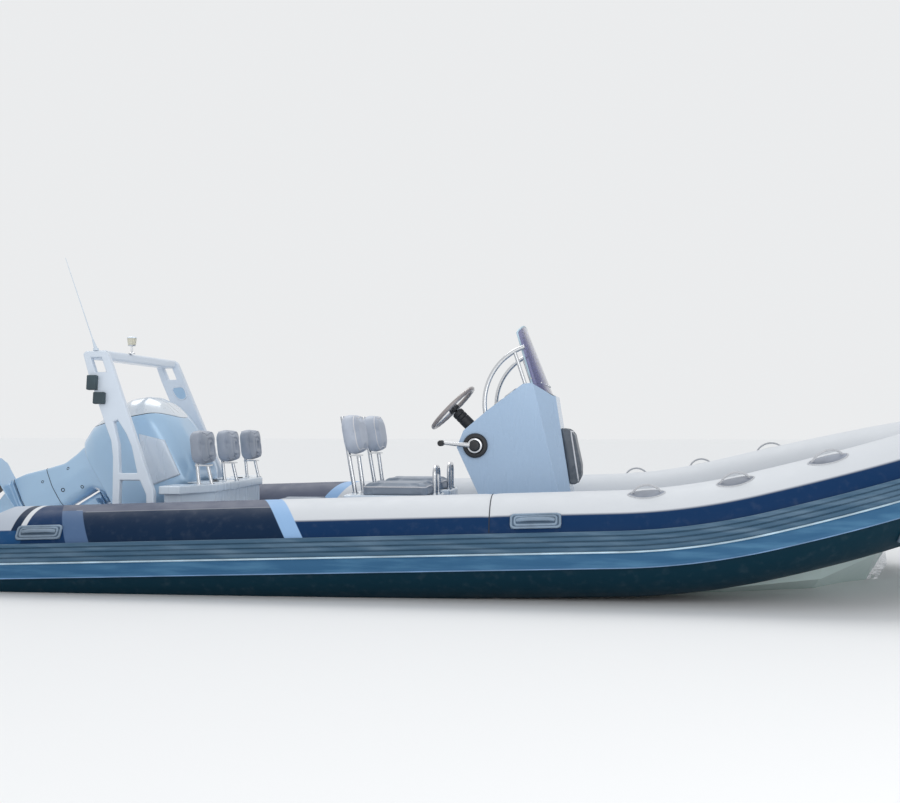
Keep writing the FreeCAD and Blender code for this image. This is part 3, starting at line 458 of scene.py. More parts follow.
# %% Gelcoat, paint and steel
def worn_gloss(name, slot, screen, roughness, metallic=0.0, coat=0.5, dirt=0.06):
    """A smooth moulded or painted surface: slow patches of tone, faint grime and a very fine grain."""
    finish = Finish(name, slot, screen, roughness, metallic, coat)
    finish.put("Coat Roughness", 0.12)
    streaks = finish.noise(14.0, 5.0, (1.0, 1.0, 0.18))
    patches = finish.span(finish.noise(2.2, 4.0), 0.35, 0.7)
    tone = finish.mix(patches, finish.shade(1.0 - dirt), finish.shade(1.0 + dirt * 0.3))
    finish.put("Base Color", finish.mix(finish.span(streaks, 0.55, 0.85, 0.0, dirt), tone, finish.shade(0.7)))
    finish.put("Roughness", finish.span(streaks, 0.3, 0.8, roughness * 0.85, roughness * 1.3))
    finish.bump(finish.noise(180.0, 2.0), 0.12, 0.00012)
    return finish.mat


gelcoat = worn_gloss("gelcoat_white", "moulding_gelcoat", (214, 226, 238), 0.28)
hull_gelcoat = worn_gloss("gelcoat_hull", "hull_gelcoat", (208, 226, 224), 0.34, dirt=0.05)
# The console is the same white gelcoat; this darker blue-grey copy of it is painted shade.
console_gelcoat_painted_shade = worn_gloss("gelcoat_console_painted_shade", "moulding_gelcoat", (168, 194, 222), 0.28, dirt=0.04)
frame_paint = worn_gloss("arch_paint", "frame_paint", (222, 232, 244), 0.34)
# The motor's silver has a light blue tint of its own, and is painted darker and bluer than that as painted shade.
motor_paint = worn_gloss("motor_silver_blue_shade", "motor_paint", (168, 200, 228), 0.33, 0.2, 0.7, 0.05)
motor_cap_paint = worn_gloss("motor_cap_pale", "motor_cap", (214, 222, 230), 0.30, 0.1, 0.7)
panel_paint = worn_gloss("motor_panel", "motor_cap", (202, 214, 228), 0.30, 0.1, 0.7, 0.04)
dark_paint = worn_gloss("propeller_dark", "propeller_paint", (52, 55, 60), 0.35, 0.3)
# The wheel rim is dark plastic; this mid-grey colour stands in for its glossy highlights, as painted sheen.
wheel_rim_painted_sheen = worn_gloss("wheel_rim_painted_sheen", "black_plastic", (156, 148, 146), 0.26, dirt=0.2)
gauge_face = worn_gloss("gauge_face", "gauge_face", (24, 26, 30), 0.2, dirt=0.2)


def brushed(name, screen, roughness):
    """Polished stainless tube with fine lines and a few dull patches."""
    finish = Finish(name, "stainless", screen, roughness, metallic=1.0)
    lines = finish.noise(60.0, 4.0, (1.0, 1.0, 6.0))
    finish.put("Roughness", finish.span(lines, 0.3, 0.75, roughness * 0.6, roughness * 1.6))
    finish.bump(lines, 0.05, 0.0002)
    return finish.mat


stainless = brushed("stainless", (206, 208, 211), 0.22)


def grained_plastic(name, slot, screen, roughness=0.5):
    finish = Finish(name, slot, screen, roughness)
    patches = finish.span(finish.noise(6.0, 4.0), 0.3, 0.75)
    finish.put("Base Color", finish.mix(patches, finish.shade(0.8), finish.shade(1.35)))
    finish.bump(finish.cells(900.0), 0.35, 0.0003)
    return finish.mat


black_plastic = grained_plastic("black_plastic", "black_plastic", (34, 36, 40))
seam_dark = grained_plastic("seam_dark", "black_plastic", (38, 44, 56), 0.7)
box_green = grained_plastic("box_dark", "black_plastic", (58, 76, 84))
grey_rubber = grained_plastic("grey_rubber", "handle_rubber", (122, 140, 158), 0.6)
# The dish of each handle is the same rubber as its rim, painted darker as painted shade under the grip.
handle_dish_painted_shade = grained_plastic("handle_dish_painted_shade", "handle_rubber", (72, 92, 112), 0.6)
patch_rubber = grained_plastic("patch_rubber", "tube_fabric", (132, 138, 150), 0.6)
pale_cord = grained_plastic("pale_cord", "band_rubber", (182, 206, 220))
low_cord = grained_plastic("low_cord", "band_rubber", (112, 146, 184))
dial_white = grained_plastic("dial_white", "gauge_face", (232, 234, 236), 0.4)


def non_slip(name, screen):
    """Deck with a moulded pattern of small raised dots and traffic marks."""
    finish = Finish(name, "deck_gelcoat", screen, 0.55)
    worn = finish.span(finish.noise(3.0, 6.0), 0.35, 0.75)
    finish.put("Base Color", finish.mix(worn, finish.shade(0.86), finish.tone))
    finish.bump(finish.span(finish.cells(130.0), 0.25, 0.5, 1.0, 0.0), 0.6, 0.0012)
    return finish.mat


deck_finish = non_slip("deck_non_slip", (186, 192, 198))


def smoked(name, slot, screen, clear):
    finish = Finish(name, slot, screen, 0.08)
    finish.put("Transmission Weight", clear)
    finish.put("IOR", 1.49)
    finish.put("Roughness", finish.span(finish.noise(5.0, 5.0), 0.4, 0.8, 0.05, 0.16))
    return finish.mat


smoked_acrylic = smoked("smoked_acrylic", "smoked_acrylic", (142, 144, 184), 0.72)
lamp_lens = smoked("lamp_lens", "lamp_plastic", (240, 236, 218), 0.25)


def vinyl(name, screen, grain=420.0):
    """Soft upholstery: fine leather grain, softly mottled."""
    finish = Finish(name, "cushion_vinyl", screen, 0.52)
    finish.put("Sheen Weight", 0.15)
    patches = finish.span(finish.noise(5.0, 4.0), 0.3, 0.75)
    finish.put("Base Color", finish.mix(patches, finish.shade(0.86), finish.shade(1.1)))
    finish.bump(finish.math("ADD", finish.cells(grain), finish.noise(60.0, 3.0)), 0.25, 0.0006)
    return finish.mat


cushion_grey = vinyl("cushion_grey", (126, 138, 154))
cushion_pale = vinyl("cushion_pale", (186, 194, 208))
cushion_mid = vinyl("cushion_mid", (152, 160, 174))
cushion_dark = vinyl("cushion_dark", (88, 96, 106))
piping_pale = vinyl("piping_pale", (222, 222, 226), 700.0)


def braid(name, screen):
    finish = Finish(name, "loop_rope", screen, 0.8)
    strand = finish.node("ShaderNodeTexWave", {"Scale": 90.0, "Distortion": 1.5, "Vector": finish.place}, "Fac",
                         wave_type="BANDS", bands_direction="DIAGONAL")
    finish.put("Base Color", finish.mix(strand, finish.shade(0.62), finish.shade(1.05)))
    finish.bump(strand, 0.6, 0.001)
    return finish.mat


loop_rope = braid("loop_rope", (214, 216, 220))

# %% [markdown]
# ## The collar
# The collar is two straight tubes that rise with the sheer and close round the bow. Its line is made of
# straight runs and arcs, so a function can give the centre of the tube, the outboard direction and the up
# direction at any distance along it. Every tube, strake and band is then a section carried along that line,
# and its distance and angle are kept in a UV map, where the painted shapes of the fabric are drawn.

# %% Line of the collar
tube_radius = 0.265
half_spacing = 0.949
rake = math.radians(2.04)
collar_height = 0.253
tail_start = -2.450
tail_length = 0.410
tail_end_radius = 0.120
seam_x = 0.150
sheer_start = 0.766
sheer_radius = 3.5
sheer = math.radians(11.8)
bow_radius_side = 1.350
bow_turn = math.radians(38)
bow_radius_nose = (half_spacing - bow_radius_side * (1 - math.cos(bow_turn))) / math.cos(bow_turn)

sheer_end_x = sheer_start + sheer_radius * math.sin(sheer)
sheer_end_z = sheer_radius * (1 - math.cos(sheer))
ramp = Vector((math.cos(sheer), 0, math.sin(sheer)))
ramp_up = Vector((-math.sin(sheer), 0, math.cos(sheer)))
length_straight = sheer_start - tail_start
length_side = bow_radius_side * bow_turn
fore_end = length_straight + sheer_radius * sheer
length_half = fore_end + length_side + bow_radius_nose * (math.pi / 2 - bow_turn)
seam_at = seam_x - tail_start


def collar_frame(distance):
    """Centre, outboard direction and up direction of the tube, measured from the starboard tail's start."""
    port = distance > length_half
    if port:
        distance = 2 * length_half - distance
    across = Vector((0, -1, 0))
    if distance <= length_straight:
        centre, up = Vector((tail_start + distance, -half_spacing, 0)), Vector((0, 0, 1))
    elif distance <= fore_end:
        angle = (distance - length_straight) / sheer_radius
        up = Vector((-math.sin(angle), 0, math.cos(angle)))
        centre = Vector((sheer_start, -half_spacing, sheer_radius)) - up * sheer_radius
    else:
        up = ramp_up
        along = distance - fore_end
        hub = Vector((sheer_end_x, -half_spacing + bow_radius_side, sheer_end_z))
        if along <= length_side:
            angle, radius = along / bow_radius_side, bow_radius_side
        else:
            angle, radius = bow_turn + (along - length_side) / bow_radius_nose, bow_radius_nose
            reach = bow_radius_side - bow_radius_nose
            hub = hub + ramp * (reach * math.sin(bow_turn)) + Vector((0, -reach * math.cos(bow_turn), 0))
        across = ramp * math.sin(angle) + Vector((0, -math.cos(angle), 0))
        centre = hub + across * radius
    return on_side(centre, port), on_side(across, port), up


def on_side(point, port):
    """A point or a direction of the starboard side, or the same on the port side."""
    return Vector((point.x, -point.y, point.z)) if port else point


def afloat(point):
    """From the collar's own level frame to the frame of the boat afloat."""
    x = point.x * math.cos(rake) - point.z * math.sin(rake)
    z = point.x * math.sin(rake) + point.z * math.cos(rake) + collar_height
    return Vector((x, point.y, z))


def collar_point(distance, radius, angle):
    """A point off the tube's centre line; the angle in degrees is measured up from the widest line."""
    centre, across, up = collar_frame(distance)
    a = math.radians(angle)
    return afloat(centre + across * (radius * math.cos(a)) + up * (radius * math.sin(a)))


def spread(start, end, step):
    count = max(1, round((end - start) / step))
    return [start + (end - start) * k / count for k in range(count + 1)]


print("collar line", round(2 * length_half, 3), "m round")


# %% A section carried along the collar
def carried(name, stations, ring, sharp):
    """Skin over rings of (radius, angle) that a function gives at each distance along the collar."""
    rings = [ring(s) for s in stations]
    count, rows = len(rings[0]), len(rings)
    placed = [(s, radius, angle) for s, row in zip(stations, rings) for radius, angle in row]
    uvs = [(s + tail_start, angle / 90) for s, radius, angle in placed]
    caps = [tuple(range(count))[::-1], tuple((rows - 1) * count + j for j in range(count))]
    obj = mesh_object(name, [collar_point(*at_ring) for at_ring in placed], banded(rows, count) + caps)
    layer = obj.data.uv_layers.new(name="skin")
    for poly in obj.data.polygons:
        corners = [(i, uvs[obj.data.loops[i].vertex_index]) for i in poly.loop_indices]
        angles = [v for i, (u, v) in corners]
        wraps = max(angles) - min(angles) > 2
        for i, (u, v) in corners:
            layer.data[i].uv = (u, v + 4 if wraps and v < 0 else v)
    with edited(obj.data) as bm:
        bmesh.ops.recalc_face_normals(bm, faces=bm.faces)
    return crisp(obj, sharp)


mirror = Matrix.Scale(-1, 4, (0, 1, 0))


def moved_copy(obj, name, matrix):
    """The same piece in another place; a mirrored one has its faces turned outwards again."""
    mesh = obj.data.copy()
    mesh.transform(matrix)
    if matrix.is_negative:
        mesh.flip_normals()
    return linked(name, mesh)


print("sweep ready")

# %% [markdown]
# ### Coated fabric in two tones
# The top of the tube is light grey and its side navy, and near the stern the grey and navy meet in slanted
# shapes. Some of these colours are painted light and shade: the underside is a darker navy as painted shade,
# the grey tail's side, the pale swoosh and the white band are painted in the blue they show in shade, and the
# dark panel's top is painted lighter as a painted sunlit top. The masks are drawn from the UV map: u is the
# distance along the boat in metres, and v is the angle round the tube in quarter turns. The fabric itself is a
# fine weave under a matt coat.

# %% Fabric of the tubes
# The third colour is the side's navy, darkened as painted shade for the underside of the tube.
grey_fabric, navy_fabric, under_navy_painted_shade = (214, 217, 221), (0, 46, 88), (0, 44, 60)
# The second colour is the dark panel's own fabric painted lighter on its top, as a painted sunlit top.
panel_fabric, panel_painted_sunlit_top, salt_white = (0, 34, 64), (92, 98, 116), (176, 180, 186)
tone_line = 39.0

fabric = Finish("tube_fabric", "tube_fabric", grey_fabric, 0.5)
fabric.put("Specular IOR Level", 0.16)
uv_map = fabric.node("ShaderNodeUVMap", uv_map="skin")
along = fabric.node("ShaderNodeSeparateXYZ", {"Vector": uv_map}, "X")
angle_round = fabric.math("MULTIPLY", along.node.outputs["Y"], 90.0)


def within(value, low, high, soft_low, soft_high):
    """1 between two limits and 0 outside, with soft edges."""
    return fabric.math("MULTIPLY", fabric.span(value, low - soft_low, low + soft_low),
                       fabric.span(value, high - soft_high, high + soft_high, 1.0, 0.0))


base = fabric.mix(within(angle_round, tone_line, 151.5, 2.0, 1.5), linear(navy_fabric), linear(grey_fabric))
# Painted shade: below the band and round under the tube the navy is painted darker.
base = fabric.mix(within(angle_round, -128.0, -19.5, 2.0, 1.5), base, linear(under_navy_painted_shade))
# In this table the tail side and swoosh rows are light grey fabric and the band row is white fabric, each painted
# in the blue it shows in shade, as painted shade; the swoosh top and panel top rows take the dark panel's painted
# sunlit top.
# what, slope in metres per degree, angle where it is measured, from, to, lowest and highest angle, colour
SHAPES = [("tail", 0.0004, 42, -4.0, -2.36, 35, 150, (182, 190, 202)),
          ("tail side", 0.0004, 42, -4.0, -2.285, 13, 35, (22, 72, 118)),
          ("stripe", 0.0004, 42, -2.36, -2.315, 35, 150, panel_fabric),
          ("light stripe", 0.0004, 42, -2.315, -2.292, 35, 150, grey_fabric),
          ("patch", 0.0004, 30, -2.290, -2.065, 13, 150, navy_fabric),
          ("swoosh", -0.0018, 30, -2.065, -1.935, 13, 66, (80, 106, 142)),
          ("swoosh top", -0.0018, 30, -2.065, -1.935, 66, 150, panel_painted_sunlit_top),
          ("panel", -0.0021, 18, -1.916, -0.876, 13, 62, panel_fabric),
          ("panel top", -0.0021, 18, -1.916, -0.876, 62, 150, panel_painted_sunlit_top),
          ("band", -0.0025, 18, -0.876, -0.783, 13, 150, (150, 186, 226))]
for name, slope, zero_angle, start, end, lowest, highest, screen in SHAPES:
    lean = fabric.math("MULTIPLY", fabric.math("SUBTRACT", angle_round, zero_angle), slope)
    reach = within(fabric.math("SUBTRACT", along, lean), start, end, 0.003, 0.003)
    base = fabric.mix(fabric.math("MULTIPLY", reach, within(angle_round, lowest, highest, 1.0, 1.5)), base,
                      linear(screen))
salt = fabric.span(fabric.noise(24.0, 6.0), 0.5, 0.85, 0.0, 0.04)
fabric.put("Base Color", fabric.mix(salt, base, linear(salt_white)))
fabric.bump(fabric.math("ADD", fabric.noise(520.0, 2.0), fabric.noise(9.0, 3.0)), 0.16, 0.0015)
fabric.put("Roughness", fabric.span(fabric.noise(11.0, 4.0), 0.3, 0.8, 0.46, 0.62))
print(len(SHAPES), "painted shapes on the tubes")

# %% The five tubes
ring_count = 96
RING = [360.0 * k / ring_count - 180.0 for k in range(ring_count)]
pinch = 0.0035
pinch_reach = 0.035


def tube_ring(distance):
    """A round section: a cone with a round end at the stern, pulled in a little where two lengths are joined."""
    radius = tube_radius
    if distance < -tail_length:
        over = min(1.0, (-distance - tail_length) / tail_end_radius)
        radius = tail_end_radius * math.sqrt(max(0.0, 1 - over * over))
    elif distance < 0:
        radius += (tail_end_radius - tube_radius) * (-distance / tail_length)
    for joint in (seam_at, 2 * length_half - seam_at):
        near = abs(distance - joint) / pinch_reach
        if near < 3:
            radius -= pinch * math.exp(-near * near * 2)
    return [(radius, angle) for angle in RING]


def on_both_sides(name, stations, ring, sharp, material):
    """One section along the starboard tube and its mirrored copy, each in the place of its CAD node."""
    side = carried(f"{name}_starboard_skin", stations, ring, sharp)
    other = moved_copy(side, f"{name}_port_skin", mirror)
    dressed(side, material, stands_for=[f"{name}_starboard"])
    dressed(other, material, stands_for=[f"{name}_port"])


dome_angles = (89.5, 80, 68, 56, 44, 32, 20, 10)
tail_dome = [-tail_length - tail_end_radius * math.sin(math.radians(t)) for t in dome_angles]
aft_stations = tail_dome + spread(-tail_length, 0.0, 0.04) + spread(0.0, seam_at, 0.035)[1:]
on_both_sides("tube_aft", aft_stations, tube_ring, 60, fabric.mat)
on_both_sides("tube_fore", spread(seam_at, fore_end, 0.035), tube_ring, 60, fabric.mat)
bow = carried("tube_bow_skin", spread(fore_end, 2 * length_half - fore_end, 0.035), tube_ring, 60)
dressed(bow, fabric.mat, stands_for=["tube_bow"])
print("tubes skinned with", ring_count, "points round")

# %% [markdown]
# ## Strakes
# A ribbed rubber strake runs along the widest line of the tube, a thin pale cord under it, and a blue band
# with raised lips below. Each is a closed section carried along the same line as the tube.

# %% Strake and band
ribbed_top, ribbed_bottom, band_bottom = 18.3, -1.7, -20.0
seat_gap = 0.0003
inner = tube_radius + seat_gap
strake_base, rib_height, rib_count = 0.013, 0.008, 4
band_thickness, band_lip, lip_angle = 0.008, 0.014, 1.6
back_steps = 6


def strake_ring(distance):
    low, high = inner + strake_base, inner + strake_base + rib_height
    pitch = (ribbed_top - ribbed_bottom) / rib_count
    side, crest = low + 0.6 * rib_height, high - 0.0014
    # share of a rib's pitch and radius
    rib = [(0.05, low), (0.09, side), (0.15, crest), (0.24, high), (0.76, high), (0.85, crest), (0.91, side),
           (0.95, low)]
    row = [(inner, ribbed_top), (low, ribbed_top)]
    row += [(radius, ribbed_top - (k + share) * pitch) for k in range(rib_count) for share, radius in rib]
    row += [(low, ribbed_bottom), (inner, ribbed_bottom)]
    return row + [(inner, ribbed_bottom + (ribbed_top - ribbed_bottom) * k / back_steps)
                  for k in range(1, back_steps)]


def band_ring(distance):
    top = ribbed_bottom - 0.1
    flat, lip = inner + band_thickness, inner + band_lip
    low_lip = band_bottom + lip_angle
    flat_top = top - 1.7 * lip_angle
    fall = flat_top - (low_lip + 0.7 * lip_angle)
    row = [(inner, top), (lip - 0.003, top), (lip, top - 0.4 * lip_angle), (lip, top - lip_angle)]
    row.append((flat, flat_top))
    row += [(flat, flat_top - fall * k / back_steps) for k in range(1, back_steps + 1)]
    row += [(lip, low_lip), (lip, band_bottom + 0.4), (lip - 0.003, band_bottom), (inner, band_bottom)]
    return row + [(inner, band_bottom + (top - band_bottom) * k / back_steps) for k in range(1, back_steps)]


def rubber(name, screen, worn):
    """Matt rubber with scuffs that run along it."""
    finish = Finish(name, name, screen, 0.62)
    scuffs = finish.span(finish.noise(9.0, 6.0, (0.35, 1.0, 3.0)), 0.4, 0.75)
    finish.put("Base Color", finish.mix(scuffs, finish.tone, linear(worn)))
    finish.bump(finish.noise(160.0, 3.0, (0.2, 1.0, 1.0)), 0.3, 0.0006)
    return finish.mat


for name, ring, mat in (("strake", strake_ring, rubber("strake_rubber", (52, 88, 114), (90, 118, 140))),
                        ("rub_band", band_ring, rubber("band_rubber", (38, 94, 134), (70, 122, 158)))):
    on_both_sides(name, spread(0.0, fore_end, 0.05), ring, 50, mat)
    nose = carried(f"{name}_bow_skin", spread(fore_end, 2 * length_half - fore_end, 0.04), ring, 50)
    dressed(nose, mat, stands_for=[f"{name}_bow"])
print("strakes done")

# %% [markdown]
# ### Cords, seams and valves on the collar
# A thin pale cord lies where the strake meets the band, and a dark line shows where two lengths of tube are
# glued. Both follow the collar, so one Geometry Nodes tree lays a round bead along points on its line.

# %% Cord and seam
for name, angle, reach, thick, mat in (("cord_upper", -2.6, band_lip + 0.0015, 0.0048, pale_cord),
                                       ("cord_lower", -19.0, band_lip, 0.0030, low_cord)):
    line = [collar_point(s, tube_radius + reach, angle) for s in spread(0.004, 2 * length_half - 0.004, 0.045)]
    laid(name, [line], mat, thick, 10)
for side, distance in (("starboard", seam_at), ("port", 2 * length_half - seam_at)):
    line = [collar_point(distance, tube_radius - pinch * 0.9, angle) for angle in range(20, 176, 3)]
    laid(f"seam_{side}", [line], seam_dark, 0.0026, 8, slot="tube_fabric")
print("cords and seams laid")


# %% Valves on the inner side
def on_collar(distance, angle):
    """A matrix whose Z axis leaves the tube's skin."""
    centre = collar_point(distance, 0.0, 0.0)
    skin_point = collar_point(distance, tube_radius, angle)
    out = (skin_point - centre).normalized()
    ahead = (collar_point(distance + 0.01, 0.0, 0.0) - centre).normalized()
    side = out.cross(ahead).normalized()
    return Matrix.Translation(skin_point) @ Matrix((side.cross(out), side, out)).transposed().to_4x4()


valve_angle = 168.0
valve_profile = [(0, -4), (43, -4), (43, 3), (40, 6), (30, 7), (28, 4), (21, 4), (19, 9), (9, 10), (0, 10)]
for name, distance in (("aft", 1.25), ("fore", 3.05), ("bow", fore_end + 0.35)):
    for side, where in (("starboard", distance), ("port", 2 * length_half - distance)):
        dressed(turned(f"valve_{name}_{side}", valve_profile, on_collar(where, valve_angle)), grey_rubber)
print("six valves set")

# %% [markdown]
# ### Grab loops
# Each loop is a short stiff rope that stands up from an oval patch with a corded rim. Three strands wind round
# the loop's line, so it reads as laid rope from close by, and each strand is a bead on its own winding path.

# %% Loops of laid rope
loop_half, loop_rise, loop_sunk = 0.0825, 0.044, 0.010
loop_lean = math.radians(20)
loop_bend = (loop_half ** 2 + (loop_rise + loop_sunk) ** 2) / (2 * (loop_rise + loop_sunk))
strand_reach, strand_pitch, strand_radius, line_steps = 0.0032, 0.036, 0.0031, 40
patch_half, patch_reach, patch_thick = 0.098, 0.044, 0.0032
patch_angle = 90 - math.degrees(loop_lean) - 1.5
patch_count = 48
lashing_lift, lashing_radius = 0.0016, 0.0030


def strands(line, reach, pitch, count=3):
    """Winding paths round a line of points."""
    paths = [[] for k in range(count)]
    travelled = 0.0
    for k, point in enumerate(line):
        ahead = (line[min(k + 1, len(line) - 1)] - line[max(k - 1, 0)]).normalized()
        if k:
            travelled += (point - line[k - 1]).length
        side = ahead.cross(Vector((0.3, 1, 0.2))).normalized()
        up = side.cross(ahead)
        for j in range(count):
            a = 2 * math.pi * (travelled / pitch + j / count)
            paths[j].append(point + (side * math.cos(a) + up * math.sin(a)) * reach)
    return paths


def loop_distance(x):
    if x <= sheer_end_x:
        return length_straight + sheer_radius * math.asin((x - sheer_start) / sheer_radius)
    return fore_end + bow_radius_side * math.asin((x - sheer_end_x) / math.cos(sheer) / bow_radius_side)


def patch_ring(middle, share, lift, port):
    """A ring of the oval patch, from its middle (share 0) to its edge (share 1)."""
    ring = []
    for a in circle(patch_count):
        lean = patch_reach * math.sin(a) * share * abs(math.sin(a)) ** 0.3
        angle = patch_angle + math.degrees(lean / tube_radius)
        point = collar_point(middle + patch_half * math.cos(a) * share, tube_radius + lift, angle)
        ring.append(on_side(point, port))
    return ring


loops, patches, lashings = [], [], []
for x in (0.930, 1.390, 1.820):
    for port in (False, True):
        middle = loop_distance(x)
        line = []
        for k in range(line_steps + 1):
            a = loop_half * (2 * k / line_steps - 1)
            height = loop_rise - loop_bend + math.sqrt(loop_bend ** 2 - a ** 2)
            centre, across, up = collar_frame(middle + a)
            stand = up * math.cos(loop_lean) + across * math.sin(loop_lean)
            line.append(on_side(afloat(centre + stand * (tube_radius + height)), port))
        loops += strands(line, strand_reach, strand_pitch)
        rings = [patch_ring(middle, share, lift, port) for share, lift in (
            (0.02, patch_thick), (0.5, patch_thick), (0.90, patch_thick), (0.97, 0.0022), (1.0, 0.0),
            (1.0, -0.004), (0.02, -0.004))]
        patches.append(lofted("patch", rings, 60.0))
        lashings.append(patch_ring(middle, 1.0, lashing_lift, port))
laid("bow_loop_ropes", loops, loop_rope, strand_radius, 8, stands_for=["bow_loops"])
dressed(joined("bow_loop_patches", patches), patch_rubber)
laid("bow_loop_rims", lashings, loop_rope, lashing_radius, 8, closed=True)
print("six loops of three strands")

# %% [markdown]
# ### Lifting handles
# Each handle is one rubber moulding: a rim round a shallow dish, and a grip that arches over the dish. The rim
# and the grip follow paths, so the bead tree makes them, and the dish is a thin block with rounded edges,
# painted a darker grey as painted shade under the grip.


# %% Handles
def rounded_path(length, height, corner, lift, steps=8):
    """A closed rectangle with round corners, at a height over the skin."""
    path = []
    for k, (sx, sy) in enumerate(((1, 1), (-1, 1), (-1, -1), (1, -1))):
        for j in range(steps + 1):
            a = math.pi / 2 * (k + j / steps)
            path.append((sx * (length / 2 - corner) + corner * math.cos(a),
                         sy * (height / 2 - corner) + corner * math.sin(a), lift))
    return path


grip_share, grip_aside, grip_low, grip_rise = 0.36, 0.004, 0.006, 0.011
# distance along the collar, angle, length, height
HANDLES = [(-2.200 - tail_start, 31.5, 0.252, 0.084), (0.378 - tail_start, 31.5, 0.252, 0.084),
           (fore_end + bow_radius_side * math.radians(26), -46.0, 0.190, 0.074)]
rims, grips, dishes = [], [], []
for distance, angle, length, height in HANDLES:
    for side in (Matrix(), mirror):
        turn = side @ on_collar(distance, angle)
        for path in (rounded_path(length - 0.014, height - 0.014, 0.017, 0.006),
                     rounded_path(length - 0.050, height - 0.040, 0.012, 0.008)):
            rims.append([turn @ Vector(p) for p in path])
        grips.append([turn @ Vector((length * grip_share * t, grip_aside, grip_low + grip_rise * (1 - t ** 4)))
                      for t in [k / 10 - 1 for k in range(21)]])
        dish = block("dish", (length - 0.006, height - 0.006, 0.014), turn, 0.006)
        if side.is_negative:
            dish.data.flip_normals()
        dishes.append(dish)
dressed(joined("handle_dishes", dishes), handle_dish_painted_shade, stands_for=["lift_handles"])
laid("handle_rims", rims, grey_rubber, 0.0062, 12, closed=True)
laid("handle_grips", grips, grey_rubber, 0.0095, 12)
print(2 * len(HANDLES), "handles")

# %% [markdown]
# ## Moulded pieces
# The transom, pods, seat bases and arch come out of moulds, so no edge on them is sharp. A merged copy of each
# CAD piece gets rounded edges and stands for it.

# %% Rounded copies of the mouldings
# CAD piece, rounding in metres, finish
MOULDED = [("transom", 0.008, gelcoat), ("aft_unit", 0.012, gelcoat), ("stern_seat_base", 0.006, gelcoat),
           ("stern_seat_lid", 0.006, gelcoat), ("jockey_pod_starboard", 0.014, gelcoat),
           ("jockey_pod_port", 0.014, gelcoat), ("front_seat_base", 0.014, gelcoat),
           ("frame_side_starboard", 0.011, frame_paint), ("frame_side_port", 0.011, frame_paint),
           ("frame_crossbar", 0.006, frame_paint), ("dash_panel", 0.003, black_plastic),
           ("frame_boxes", 0.002, box_green)]
for node, width, mat in MOULDED:
    body = "seat_lid" if node == "stern_seat_lid" else "boat"
    dressed(rounded(copy_of(node), width), mat, body, stands_for=[node])
print(len(MOULDED), "mouldings rounded")

# %% [markdown]
# ### Console
# The console leans and narrows forwards, with a chamfer on each side of its nose. It is cut here as one closed
# form from the same corners as the part, and then all its edges are rounded generously, as on a moulding.

# %% Console
console_half, console_nose = 0.360, 0.250
console_low, console_peak = 0.030, 1.130
shoulder_low, shoulder_peak = 0.553, 0.300
nose_low, nose_peak = 0.583, 0.413
deck_drop = 0.110
CONSOLE_SIDE = [(0.020, 0.030), (0.020, 0.430), (-0.127, 0.746), (-0.089, 0.842), (0.049, 0.958), (0.248, 1.105),
                (0.296, 1.111), (0.412, 1.040), (0.700, 1.040), (0.700, 0.030)]


def prism(name, outline, half):
    """A side view (x, z) extruded across the boat."""
    return lofted(name, [[(x, y, z) for x, z in outline] for y in (-half, half)])


def cut_by(obj, cutter, operation):
    """Cut a form with another one, which is then removed."""
    modified(obj, "BOOLEAN", operation=operation, object=cutter, solver="EXACT")
    applied(obj)
    bpy.data.objects.remove(cutter)
    return obj


def deck_height(x):
    return collar_height + x * math.tan(rake) - deck_drop


rings = []
for z in (deck_height(0.25) - 0.004, console_peak):
    share = (z - console_low) / (console_peak - console_low)
    corner = shoulder_low + (shoulder_peak - shoulder_low) * share
    front = nose_low + (nose_peak - nose_low) * share
    half = [(-0.3, -console_half), (corner, -console_half), (front, -console_nose)]
    rings.append([(x, y, z) for x, y in half + [(x, -y) for x, y in reversed(half)]])
console = cut_by(lofted("console_skin", rings), prism("console_side", CONSOLE_SIDE, 0.5), "INTERSECT")
# Its gelcoat is painted in the blue-grey of painted shade.
dressed(rounded(console, 0.018, 4), console_gelcoat_painted_shade, stands_for=["console"])
print("console", [round(v, 3) for v in console.dimensions])

# %% Hatches and latches
hatch_latch = [(0, -2), (19, -2), (19, 3), (15, 5), (12, 3), (0, 2.5)]
hatch_thick = 0.007
# name, two sizes of the lid lying flat, place of its middle, axis and degrees that turn it there
HATCHES = [("console_port", 0.26, 0.34, (0.16, 0.3605, 0.62), "X", -90),
           ("front_seat", 0.17, 0.34, (0.930, 0, 0.26), "Y", 90),
           ("unit_starboard", 0.17, 0.20, (-1.655, -0.215, 0.5325), "Z", 0),
           ("unit_port", 0.17, 0.20, (-1.655, 0.215, 0.5325), "Z", 0),
           ("deck_fore", 0.42, 0.52, (1.30, 0, 0.236), "Y", -6)]
for name, long, wide, middle, axis, degrees in HATCHES:
    turn = at(*middle, axis, degrees)
    dressed(block(f"hatch_{name}", (long, wide, hatch_thick), turn, 0.0028), gelcoat)
    dressed(turned(f"catch_{name}", hatch_latch, turn @ at(0.32 * long, 0, 0.0038), 32), black_plastic)
print(len(HATCHES), "hatches")

# %% [markdown]
# ### Windscreen
# A single sheet of smoked acrylic, bent round the front of the console and leaning aft. Its lower and upper
# edges are smooth curves through a few measured points, and the sheet is ruled between them. A pale rubber edge
# and a row of screws finish it.

# %% Windscreen
# points of the port half, from its end to the middle
SCREEN_BASE = [(0.318, 0.300), (0.378, 0.235), (0.400, 0.110), (0.402, 0.0)]
SCREEN_TOP = [(0.198, 0.290), (0.226, 0.215), (0.238, 0.100), (0.240, 0.0)]
screen_low, screen_high, screen_thick = 1.040, 1.452, 0.008
brow_x, brow_z, brow_fall = 0.296, 1.111, 0.612
screen_sunk, corner_drop = 0.003, 0.054
columns, rows = 56, 14


def whole_line(half):
    return [(x, -y) for x, y in half] + half[-2::-1]


